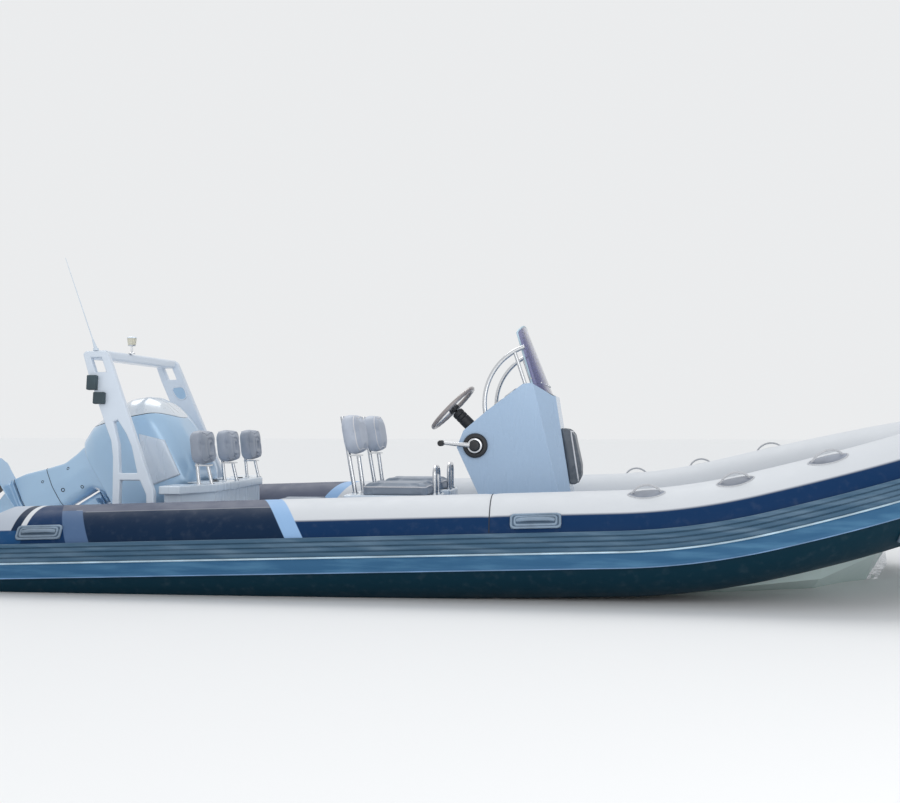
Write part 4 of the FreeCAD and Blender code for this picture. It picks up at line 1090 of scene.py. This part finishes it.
def through(points, t):
    """Smooth curve through points; t runs from 0 to 1."""
    span = t * (len(points) - 1)
    k = min(int(span), len(points) - 2)
    f = span - k
    a, b, c, d = (points[max(0, k - 1)], points[k], points[k + 1], points[min(len(points) - 1, k + 2)])
    return tuple(0.5 * (2 * q + (r - p) * f + (2 * p - 5 * q + 4 * r - s) * f * f
                        + (3 * q - p - 3 * r + s) * f ** 3) for p, q, r, s in zip(a, b, c, d))


def screen_line(t):
    """Points up the screen at one place round it."""
    (low_x, low_y), (top_x, top_y) = through(whole_line(SCREEN_BASE), t), through(whole_line(SCREEN_TOP), t)
    base = brow_z - (low_x - brow_x) * brow_fall - screen_sunk
    top = screen_high - corner_drop * abs(2 * t - 1) ** 2.6
    points = []
    for k in range(rows + 1):
        z = base + (top - base) * k / rows
        f = (z - screen_low) / (screen_high - screen_low)
        points.append(Vector((low_x + (top_x - low_x) * f, low_y + (top_y - low_y) * f, z)))
    return points


outer = [screen_line(k / columns) for k in range(columns + 1)]
rings, between = [], []
for k, column in enumerate(outer):
    ahead = outer[min(k + 1, columns)][0] - outer[max(k - 1, 0)][0]
    inward = Vector((-abs(ahead.y), ahead.x if ahead.y > 0 else -ahead.x, 0)).normalized() * screen_thick
    rings.append(column + [p + inward for p in reversed(column)])
    between.append([p + inward / 2 for p in column])
dressed(lofted("windscreen_skin", rings, 50.0), smoked_acrylic, stands_for=["windscreen"])
edge = between[0] + [column[rows] for column in between[1:-1]] + between[-1][::-1]
laid("windscreen_edge", [edge], pale_cord, 0.0052, 10, slot="moulding_gelcoat")
laid("windscreen_gasket", [[column[0] + Vector((0, 0, screen_sunk)) for column in outer]], seam_dark, 0.005, 8)
dressed(grown(studs, "windscreen_screws", [[column[2] for column in outer]], stainless, Spacing=0.078, Long=0.006,
              Wide=0.006), stainless)
print("screen with", columns, "columns")

# %% [markdown]
# ### Helm
# The wheel stands on a tilted column, with three double spokes. The rim is turned with a slight wave for the
# fingers. Gauges are bezels with a black face, ticks from a Geometry Nodes tree and a needle. Profiles of turned
# pieces are pairs of radius and height in millimetres.

# %% Steering wheel and column
helm = at(-0.199, 0.0, 0.975, "Y", -45)
rim_radius, rim_thick = 0.1635, 0.014
rim_count, rim_sides, finger_waves = 96, 20, 24
points = []
for a in circle(rim_count) + [0.0]:
    for b in circle(rim_sides):
        thick = rim_thick * (0.955 + 0.045 * math.cos(finger_waves * a) * max(0.0, -math.sin(b)))
        r = rim_radius + thick * math.cos(b)
        points.append((r * math.cos(a), r * math.sin(a), thick * math.sin(b)))
rim = outward(mesh_object("wheel_rim", points, banded(rim_count + 1, rim_sides)))
rim.data.transform(helm)
# The rim's mid-grey colour is painted sheen on dark plastic.
dressed(rim, wheel_rim_painted_sheen, "steering_wheel", stands_for=["steering_wheel"])
spokes = []
for degrees in (90, 180, 270):
    turn = helm @ at(0, 0, 0, "Z", degrees)
    for s in (-1, 1):
        spokes.append([turn @ Vector((0.020 + 0.140 * t, s * (0.007 + 0.012 * t), -0.007 + 0.006 * t * t))
                       for t in [k / 12 for k in range(13)]])
laid("wheel_spokes", spokes, stainless, 0.0046, 12, body="steering_wheel")
hub_profile = [(0, -90), (9, -90), (9, -24), (32, -24), (34, -18), (34, -4), (30, 3), (16, 6), (0, 6.5)]
ring_profile = [(24, 4.5), (26, 7.5), (29, 6), (28, 2)]
column_profile = [(9.2, -95), (9.2, -32), (26, -32), (34, -36), (36, -46), (36, -60), (33, -64), (36, -68),
                  (36, -84), (33, -88), (36, -92), (36, -150), (50, -164), (56, -172), (60, -190), (0, -190),
                  (0, -97)]
dressed(turned("wheel_hub", hub_profile, helm), black_plastic, "steering_wheel")
dressed(turned("wheel_ring", ring_profile, helm), stainless, "steering_wheel")
dressed(turned("helm_column_skin", column_profile, helm), black_plastic, stands_for=["helm_column"])
print("wheel across", round(2 * (rim_radius + rim_thick), 3))

# %% Gauges and switches
(dash_x, dash_z), (dash_top_x, dash_top_z) = CONSOLE_SIDE[4:6]
dash = at(dash_x, 0, dash_z, "Y", -math.degrees(math.atan2(dash_top_z - dash_z, dash_top_x - dash_x)))
dash_face, switch_row, rocker_tilt, needle_turn = 0.0083, 0.060, 7, 130
# place up the dash and across it, radius of the bezel in millimetres
GAUGES = [(0.150, -0.150, 46), (0.150, -0.040, 46), (0.150, 0.060, 34), (0.150, 0.145, 34), (0.060, -0.150, 30)]
bezels, dial_faces, marks = [], [], []
for along_dash, y, r in GAUGES:
    place = dash @ at(along_dash, y, dash_face)
    bezels.append(turned("bezel", [(r, 0), (r, 6), (r - 2, 9), (r - 5, 8.5), (r - 6, 4), (r - 6, 0)], place))
    dial_faces.append(turned("face", [(0, 0), (r - 5.8, 0), (r - 5.8, 4), (0, 4)], place))
    reach = 0.80 * (r - 6) / 1000
    arc = [(reach * math.cos(a), reach * math.sin(a), 0.0042) for a in map(math.radians, range(45, 316, 5))]
    dial = grown(ticks, "ticks", [arc], dial_white, Count=19, Long=0.006 if r > 40 else 0.004, Wide=0.0012)
    dial.data.transform(place)
    needle_place = place @ at(0, 0, 0.0055, "Z", needle_turn) @ at(0.25 * r / 1000, 0, 0)
    needle = block("needle", (0.62 * r / 1000, 0.0018, 0.0012), needle_place, 0.0004)
    boss = turned("boss", [(0, 3.8), (5, 3.8), (5, 6), (3, 7.2), (0, 7.2)], place, 24)
    marks += [dial, needle, boss]
dressed(joined("gauge_bezels", bezels), stainless, slot="gauge_face", stands_for=["gauges"])
dressed(joined("gauge_faces", dial_faces), gauge_face)
dressed(joined("gauge_marks", marks), dial_white)
rockers = [block("rocker", (0.030, 0.018, 0.010), dash @ at(switch_row, y, 0.0125, "Y", rocker_tilt), 0.003)
           for y in (-0.075, -0.045, -0.015, 0.015, 0.045, 0.075)]
dressed(joined("rocker_switches", rockers), seam_dark)
key_profile = [(0, 0), (15, 0), (15, 4), (11, 7), (6, 7), (5, 4), (0, 4)]
dressed(turned("key_switch", key_profile, dash @ at(switch_row, 0.150, 0.0081)), stainless)
print(len(GAUGES), "gauges,", len(rockers), "rockers and a key switch")

# %% Throttle
throttle_x, throttle_y, throttle_z = -0.020, -0.3603, 0.757
arm_y = throttle_y - 0.0553
arm_length, arm_rise = 0.178, 0.014
throttle = at(throttle_x, throttle_y, throttle_z, "X", 90)
disc_profile = [(0, 0), (70, 0), (70, 14), (66, 22), (58, 26), (49, 26), (46, 20), (0, 20)]
collar_profile = [(0, 19.5), (45, 19.5), (44.5, 34), (41, 42), (33, 43.5), (30, 38), (0, 38)]
knob_profile = [(0, 44.6), (30, 44.6), (30, 58), (26, 64), (18, 66.5), (0, 66.8)]
grip_profile = [(0, -39), (11, -39), (16, -34), (17, -24), (15.5, -10), (16.8, 4), (15.5, 18), (17, 30), (14, 38),
                (0, 39.5)]
dressed(turned("throttle_disc", disc_profile, throttle), black_plastic, stands_for=["throttle_base"])
dressed(turned("throttle_ring", collar_profile, throttle), stainless)
dressed(turned("throttle_hub", knob_profile, throttle), black_plastic)
arm = []
for t in [k / 14 for k in range(15)]:
    high, wide = 0.015 - 0.007 * t, 0.0085 - 0.0025 * t
    arm.append([(throttle_x - arm_length * t, arm_y + wide * math.cos(b),
                 throttle_z + arm_rise * t + high * math.sin(b)) for b in circle(16)])
dressed(lofted("throttle_arm", arm), stainless, stands_for=["throttle_lever"])
grip_place = at(throttle_x - 0.186, arm_y - 0.012, throttle_z + arm_rise, "X", 90)
dressed(turned("throttle_grip", grip_profile, grip_place), black_plastic)
print("throttle set")

# %% Lamp on the arch
lamp_place = at(-2.150, -0.184, 1.306)
foot_profile = [(0, 0), (20, 0), (20, 5), (12, 9), (6.5, 12), (6, 46), (22, 48), (24, 54), (0, 54)]
lens_profile = [(0, 54.5), (22.5, 54.5)]
for k in range(9):
    lens_profile += [(23.5 + 0.5 * k, 56 + 4.4 * k), (25 + 0.5 * k, 58 + 4.4 * k)]
lens_profile += [(27.5, 95), (0, 95)]
cap_profile = [(0, 95.2), (29, 95.2), (29.5, 98), (24, 103.5), (10, 106), (0, 106)]
dressed(turned("lamp_foot", foot_profile, lamp_place), stainless, slot="lamp_plastic", stands_for=["mast_light"])
dressed(turned("lamp_lens", lens_profile, lamp_place), lamp_lens)
dressed(turned("lamp_cap", cap_profile, lamp_place), gelcoat, slot="lamp_plastic")
print("lamp set")

# %% Recess on the arch
RECESS = [(-2.165, 1.124), (-2.100, 1.124), (-2.078, 1.066), (-2.100, 1.044), (-2.140, 1.052), (-2.172, 1.100)]
arch_inner_y, arch_foot_z, arch_lean = 0.593, 0.300, 0.1024


def on_far_side(x, z, lift):
    """A point on the inner face of the port side of the arch."""
    return Vector((x, arch_inner_y - (z - arch_foot_z) * arch_lean - lift, z))


recess_line = [on_far_side(*through(RECESS + RECESS[:1], k / 60), 0.0008) for k in range(60)]
laid("arch_recess_rim", [recess_line], frame_paint, 0.0045, 10, closed=True)
recess_rings = [[on_far_side(x, z, lift) for x, z in RECESS] for lift in (-0.002, 0.0012)]
# The hollow of the recess is in the arch's own paint, painted in the motor's darker blue silver as painted shade.
dressed(lofted("arch_recess", recess_rings), motor_paint, slot="frame_paint")
print("recess set")

# %% [markdown]
# ## Outboard motor
# The leg and gearcase have no flat facets. Each is rebuilt from its CAD form as one fine skin and then smoothed,
# which also blends the ribs and plates into each other as a casting does. The two brackets keep their faces and
# get rounded edges. The cowl and its rear cap are smoothed as one dome and then parted along the seam.

# %% Castings
for node, voxel, rounds in (("midsection", 0.008, 34), ("gearcase", 0.005, 6)):
    dressed(cast(copy_of(node), voxel, rounds), motor_paint, "motor_leg", stands_for=[node])
for node, body in (("clamp_bracket", "boat"), ("swivel_bracket", "motor_swivel")):
    dressed(rounded(copy_of(node), 0.003), motor_paint, body, stands_for=[node])
print("castings blended")

# %% Cowl and cap
stow = at(-2.320, 0, 0.302, "Y", 59)
CAP_EDGE = [(-0.552, 0.130), (-0.462, 0.400), (-0.415, 0.534), (-0.378, 0.621), (-0.319, 0.680), (-0.240, 0.720)]
cap_seam = 0.0022
behind, above = -0.75, 0.85


def cap_cutter(grow):
    """The space behind the seam, grown or shrunk, in the stowed motor's place."""
    seam = [through(CAP_EDGE, k / 30) for k in range(31)]
    outline = [(behind, CAP_EDGE[0][1])] + [(u + grow, w) for u, w in seam]
    cutter = prism("cap_cutter", outline + [(CAP_EDGE[-1][0] + grow, above), (behind, above)], 0.4)
    cutter.data.transform(stow)
    return cutter


dome = cast(joined("cowl_dome", [copy_of("cowl"), copy_of("cowl_cap")]), 0.009, 26)
cap = linked("cowl_cap_skin", dome.data.copy())
for obj, grow, operation, mat, node in ((cap, -cap_seam, "INTERSECT", motor_cap_paint, "cowl_cap"),
                                        (dome, cap_seam, "DIFFERENCE", motor_paint, "cowl")):
    cut_by(obj, cap_cutter(grow), operation).data.shade_smooth()
    dressed(crisp(obj, 50), mat, "motor_leg", stands_for=[node])
print("cowl", len(dome.data.polygons), "faces, cap", len(cap.data.polygons))

# %% Raised panel on each side of the cowl
PANEL = [Vector(corner) for corner in ((-0.31, 0.49), (-0.20, 0.60), (0.030, 0.583), (-0.005, 0.38))]
panel_lift, panel_sunk, panel_thick, panel_steps = 0.0012, 0.0004, 0.004, 28
outside = 0.6


def from_side(tree, u, side, w):
    """Where a level ray from one side meets the stowed motor, and the skin's normal there."""
    start, aim = stow @ Vector((u, side * outside, w)), stow @ Vector((u, 0, w))
    return tree.ray_cast(start, (aim - start).normalized())[:2]


dome_tree = skin_tree(dome)
count = panel_steps + 1
for side, name in ((-1, "starboard"), (1, "port")):
    grid = []
    for i in range(count):
        for j in range(count):
            s, t = i / panel_steps, j / panel_steps
            u, w = PANEL[0].lerp(PANEL[1], s).lerp(PANEL[3].lerp(PANEL[2], s), t)
            hit, normal = from_side(dome_tree, u, side, w)
            rim_share = min(s, 1 - s, t, 1 - t) * panel_steps
            grid.append(hit + normal * (panel_lift * min(1.0, rim_share / 1.5) - panel_sunk))
    faces = [(i * count + j, i * count + j + 1, (i + 1) * count + j + 1, (i + 1) * count + j)[::side]
             for i in range(panel_steps) for j in range(panel_steps)]
    panel = mesh_object(f"cowl_panel_{name}", grid, faces)
    modified(panel, "SOLIDIFY", thickness=panel_thick, offset=-1)
    dressed(outward(applied(panel)), panel_paint, "motor_leg")
print("two bare panels")

# %% Seams and plugs of the leg
leg_tree = skin_tree(bpy.data.objects["midsection_skin"])
leg_middle, leg_flat = -0.34, 0.42


def round_the_leg(w):
    """The line in which a level cut meets the leg, found from outside."""
    line = []
    for a in circle(72):
        aim = stow @ Vector((leg_middle, 0, w))
        start = stow @ Vector((leg_middle + outside * math.cos(a), outside * leg_flat * math.sin(a), w))
        hit = leg_tree.ray_cast(start, (aim - start).normalized())[0]
        if hit:
            line.append(hit)
    return line


leg_lines = [round_the_leg(w) for w in (-0.250, -0.476)]
laid("leg_seams", leg_lines, seam_dark, 0.0022, 6, closed=True, body="motor_leg", slot="motor_paint")
plugs = []
for u, w, r in ((-0.415, -0.111, 10), (-0.311, -0.196, 13), (-0.260, -0.070, 11), (-0.430, -0.300, 9)):
    for side in (-1, 1):
        hit, normal = from_side(leg_tree, u, side, w)
        place = Matrix.Translation(hit) @ normal.to_track_quat("Z", "Y").to_matrix().to_4x4()
        plug_profile = [(0, -4), (r, -4), (r, 1.2), (0.8 * r, 2), (0.5 * r, -1), (0, -1)]
        plugs.append(turned("plug", plug_profile, place, 24))
dressed(joined("leg_plugs", plugs), seam_dark, "motor_leg")
print(len(leg_lines), "seams and", len(plugs), "plugs on the leg")

# %% [markdown]
# ### Propeller
# Three blades on a hub that the exhaust leaves through. Each blade is a stack of thin sections: broad in the
# middle, and turned less and less towards the tip, so that every part of it follows the same screw.

# %% Propeller
prop_place = stow @ at(0, 0, -0.715)
blade_middle, screw_pitch = -0.566, 0.33
root_radius, tip_radius = 0.046, 0.171


def blade_ring(radius, turn):
    share = (radius - root_radius) / (tip_radius - root_radius)
    chord = 0.030 + 0.082 * math.sin(math.pi * min(1.0, 0.20 + 0.74 * share)) ** 0.8
    chord *= math.sqrt(max(0.03, 1 - max(0.0, (share - 0.72) / 0.28) ** 2))
    thick = 0.0065 * (1 - 0.72 * share)
    slope = math.atan(screw_pitch / (2 * math.pi * radius))
    ring = []
    for b in circle(28):
        c, t = 0.5 * chord * math.cos(b), 0.5 * thick * math.sin(b)
        t += 0.10 * chord * (0.25 - (c / chord) ** 2)
        x = blade_middle + c * math.sin(slope) + t * math.cos(slope)
        round_by = (c * math.cos(slope) - t * math.sin(slope)) / radius + turn + 0.25 * share
        ring.append(prop_place @ Vector((x, radius * math.sin(round_by), radius * math.cos(round_by))))
    return ring


radii = [root_radius + (tip_radius - root_radius) * (1 - (1 - k / 18) ** 1.5) for k in range(19)]
blades = [lofted("blade", [blade_ring(r, turn) for r in radii], 60.0) for turn in circle(3)]
hub_profile = [(11.3, -565), (11.3, -511), (49, -511), (54.5, -518), (54.8, -560), (53.5, -606), (54.5, -620),
               (46, -620), (43, -604), (26, -604), (24, -622), (22, -626), (21, -640), (13, -648), (0, -649),
               (0, -566)]
hub = turned("hub", hub_profile, prop_place @ at(0, 0, 0, "Y", 90))
dressed(joined("propeller_skin", blades + [hub]), dark_paint, "propeller", stands_for=["propeller"])
print("propeller of three blades")

# %% [markdown]
# ## Cushions
# Foam under stretched vinyl is full in the middle and pulls in between its corners. Each pad starts as a fine
# skin of its CAD form, slightly smaller, and a short cloth simulation with a little air pressure rounds it while
# its seat stays flat. Grooves, dents and piping follow on the result.

# %% Pads that are simulated
lean_stern, lean_jockey = math.radians(6), math.radians(10)
upward = Vector((0, 0, 1))
stern_face = Vector((math.cos(lean_stern), 0, math.sin(lean_stern)))
jockey_face = Vector((math.cos(lean_jockey), 0, math.sin(lean_jockey)))
front_face = Vector((0.99, 0, 0.15)).normalized()
# name, CAD piece, voxel, most that a point may move, fill, direction of the face
PADS = [("stern_bench", "stern_seat_cushion", 0.011, 0.012, 0.55, upward),
        ("stern_back", "stern_back_middle", 0.006, 0.009, 0.75, stern_face),
        ("jockey_seat", "jockey_cushion_starboard", 0.008, 0.012, 0.65, upward),
        ("jockey_back", "jockey_back_starboard", 0.007, 0.008, 0.8, jockey_face),
        ("front_pad", "front_cushion", 0.009, 0.012, 0.7, front_face),
        ("front_bench", "front_seat_cushion", 0.009, 0.012, 0.6, upward)]
pad_scale, air_pressure, air_frames = 0.985, 4.0, 20


def box_middle(obj):
    return sum((Vector(c) for c in obj.bound_box), Vector()) / 8


pads, rest_points = {}, {}
for name, node, voxel, reach, fill, face in PADS:
    pad = pads[name] = copy_of(node, name)
    middle = box_middle(pad)
    pad.data.transform(Matrix.Translation(middle) @ Matrix.Scale(pad_scale, 4) @ Matrix.Translation(-middle))
    modified(pad, "REMESH", mode="VOXEL", voxel_size=voxel, use_smooth_shade=True)
    applied(pad)
    held = pad.vertex_groups.new(name="held")
    held.add([v.index for v in pad.data.vertices if v.normal.dot(-face) > 0.8], 1.0, "REPLACE")
    rest_points[name] = [v.co.copy() for v in pad.data.vertices]
    air = pad.modifiers.new("air", "CLOTH")
    for key, value in {"quality": 5, "mass": 0.3, "use_pressure": True, "uniform_pressure_force": air_pressure,
                       "vertex_group_mass": "held"}.items():
        setattr(air.settings, key, value)
    air.settings.effector_weights.gravity = 0.0
    air.point_cache.frame_start, air.point_cache.frame_end = 1, air_frames
for number in range(1, air_frames + 1):
    scene.frame_set(number)
for pad in pads.values():
    applied(pad)
for name, node, voxel, reach, fill, face in PADS:
    pad = pads[name]
    moved = 0.0
    for vertex, rest in zip(pad.data.vertices, rest_points[name]):
        step = vertex.co - rest
        if step.length > reach:
            vertex.co = rest + step * (reach / step.length)
        moved = max(moved, min(step.length, reach))
    modified(pad, "SUBSURF", levels=1, render_levels=1)
    applied(pad).data.shade_smooth()
    print(name, "rounded by", round(moved * 1000, 1), "mm,", len(pad.data.polygons), "faces")
scene.frame_set(1)


# %% Grooves and dents
def groove(distance, depth):
    return depth * math.exp(-(distance / 0.006) ** 2)


def to_rounded_box(a, b, half_a, half_b, corner):
    """Distance from a flat point to the outline of a box with round corners."""
    qa, qb = abs(a) - half_a + corner, abs(b) - half_b + corner
    return math.hypot(max(qa, 0), max(qb, 0)) + min(max(qa, qb), 0) - corner


def back_emboss(y, a, b):
    """A raised loop with a hollow middle, pressed into the face."""
    loop = to_rounded_box(a - 0.012, b + 0.010, 0.050, 0.052, 0.034)
    hollow = to_rounded_box(a - 0.020, b + 0.006, 0.024, 0.026, 0.018)
    return groove(loop, 0.006) + 0.012 / (1 + math.exp(max(-30.0, min(30.0, hollow / 0.0018))))


bench_seam = 0.213
# depths from the place across the boat, and from the places across and up the face
PRESSED = {"stern_bench": [lambda y, a, b: groove(y + bench_seam, 0.006),
                           lambda y, a, b: groove(y - bench_seam, 0.006)],
           "stern_back": [back_emboss],
           "jockey_seat": [lambda y, a, b: groove(to_rounded_box(a, b, 0.105, 0.130, 0.05), 0.005)],
           "front_bench": [lambda y, a, b: groove(y, 0.005)]}


def pressed(pad, middle, face, up, depth_at):
    """Push the face in by a depth that a function gives."""
    moves = []
    for v in pad.data.vertices:
        a, b = v.co.y - middle.y, (v.co - middle).dot(up)
        moves.append(v.normal * (depth_at(v.co.y, a, b) if v.normal.dot(face) > 0.3 else 0.0))
    for vertex, move in zip(pad.data.vertices, moves):
        vertex.co -= move


print("grooves for", len(PRESSED), "pads")


# %% Piping and copies
def girdle(pad, middle, face, up, offset, straight, count):
    """A closed line round the pad's side, found on the skin from outside."""
    tree = skin_tree(pad)
    line = []
    for a in circle(count):
        spine = max(-straight, min(straight, straight * 1.25 * math.cos(a)))
        out = across * math.cos(a) + up * math.sin(a)
        hit = tree.ray_cast(middle + face * offset + across * spine + out * 1.2, -out)[0]
        if hit:
            line.append(hit)
    return line


across = Vector((0, 1, 0))
# pad: its finish and its piping's, height of the piping over the middle, its straight run, points and radius
PIPED = {"stern_bench": (cushion_grey, piping_pale, 0.018, 0.50, 160, 0.0042),
         "stern_back": (cushion_mid, cushion_mid, 0.026, 0.0, 96, 0.0036),
         "jockey_seat": (cushion_grey, piping_pale, 0.010, 0.02, 120, 0.0036),
         "jockey_back": (cushion_pale, piping_pale, 0.030, 0.0, 96, 0.0034),
         "front_pad": (cushion_dark, piping_pale, 0.018, 0.05, 96, 0.0042),
         "front_bench": (cushion_grey, piping_pale, 0.012, 0.06, 96, 0.0038)}
# pad, CAD piece of the copy, name of the copy, name of its piping, distance across the boat
back_gap, jockey_gap = 0.430, 0.560
COPIES = [("stern_back", "stern_back_starboard", "stern_back_starboard_pad", "stern_back_starboard_piping",
           -back_gap),
          ("stern_back", "stern_back_port", "stern_back_port_pad", "stern_back_port_piping", back_gap),
          ("jockey_seat", "jockey_cushion_port", "jockey_seat_port_pad", "jockey_seat_piping_port", jockey_gap),
          ("jockey_back", "jockey_back_port", "jockey_back_port_pad", "jockey_back_piping_port", jockey_gap)]
for name, node, voxel, reach, fill, face in PADS:
    pad, body = pads[name], "seat_lid" if name == "stern_bench" else "boat"
    middle, up = box_middle(pad), face.cross(across)
    for depth_at in PRESSED.get(name, []):
        pressed(pad, middle, face, up, depth_at)
    mat, piping_mat, offset, straight, count, thick = PIPED[name]
    line = girdle(pad, middle, face, up, offset, straight, count)
    piping = laid(f"{name}_piping", [line], piping_mat, thick, 10, closed=True, body=body)
    places = [(pad, node)]
    for source, copy_node, copy_name, piping_name, y in COPIES:
        if source == name:
            aside = Matrix.Translation((0, y, 0))
            places.append((moved_copy(pad, copy_name, aside), copy_node))
            dressed(moved_copy(piping, piping_name, aside), piping_mat)
    for obj, stands_for in places:
        dressed(obj, mat, body, stands_for=[stands_for])
print(len(PADS) + len(COPIES), "pads finished")

# %% Finish of the CAD pieces that keep their shape
KEPT = {"hull": hull_gelcoat, "deck": deck_finish, "antenna": gelcoat}
steel = ("stern_back_frames", "jockey_frames", "grab_rails", "console_rails", "stem_fitting", "deck_bollard")
KEPT.update({name: stainless for name in steel})
for name, mat in KEPT.items():
    painted(frame["nodes"][name], mat)
print("finishes set on", len(KEPT), "CAD pieces")
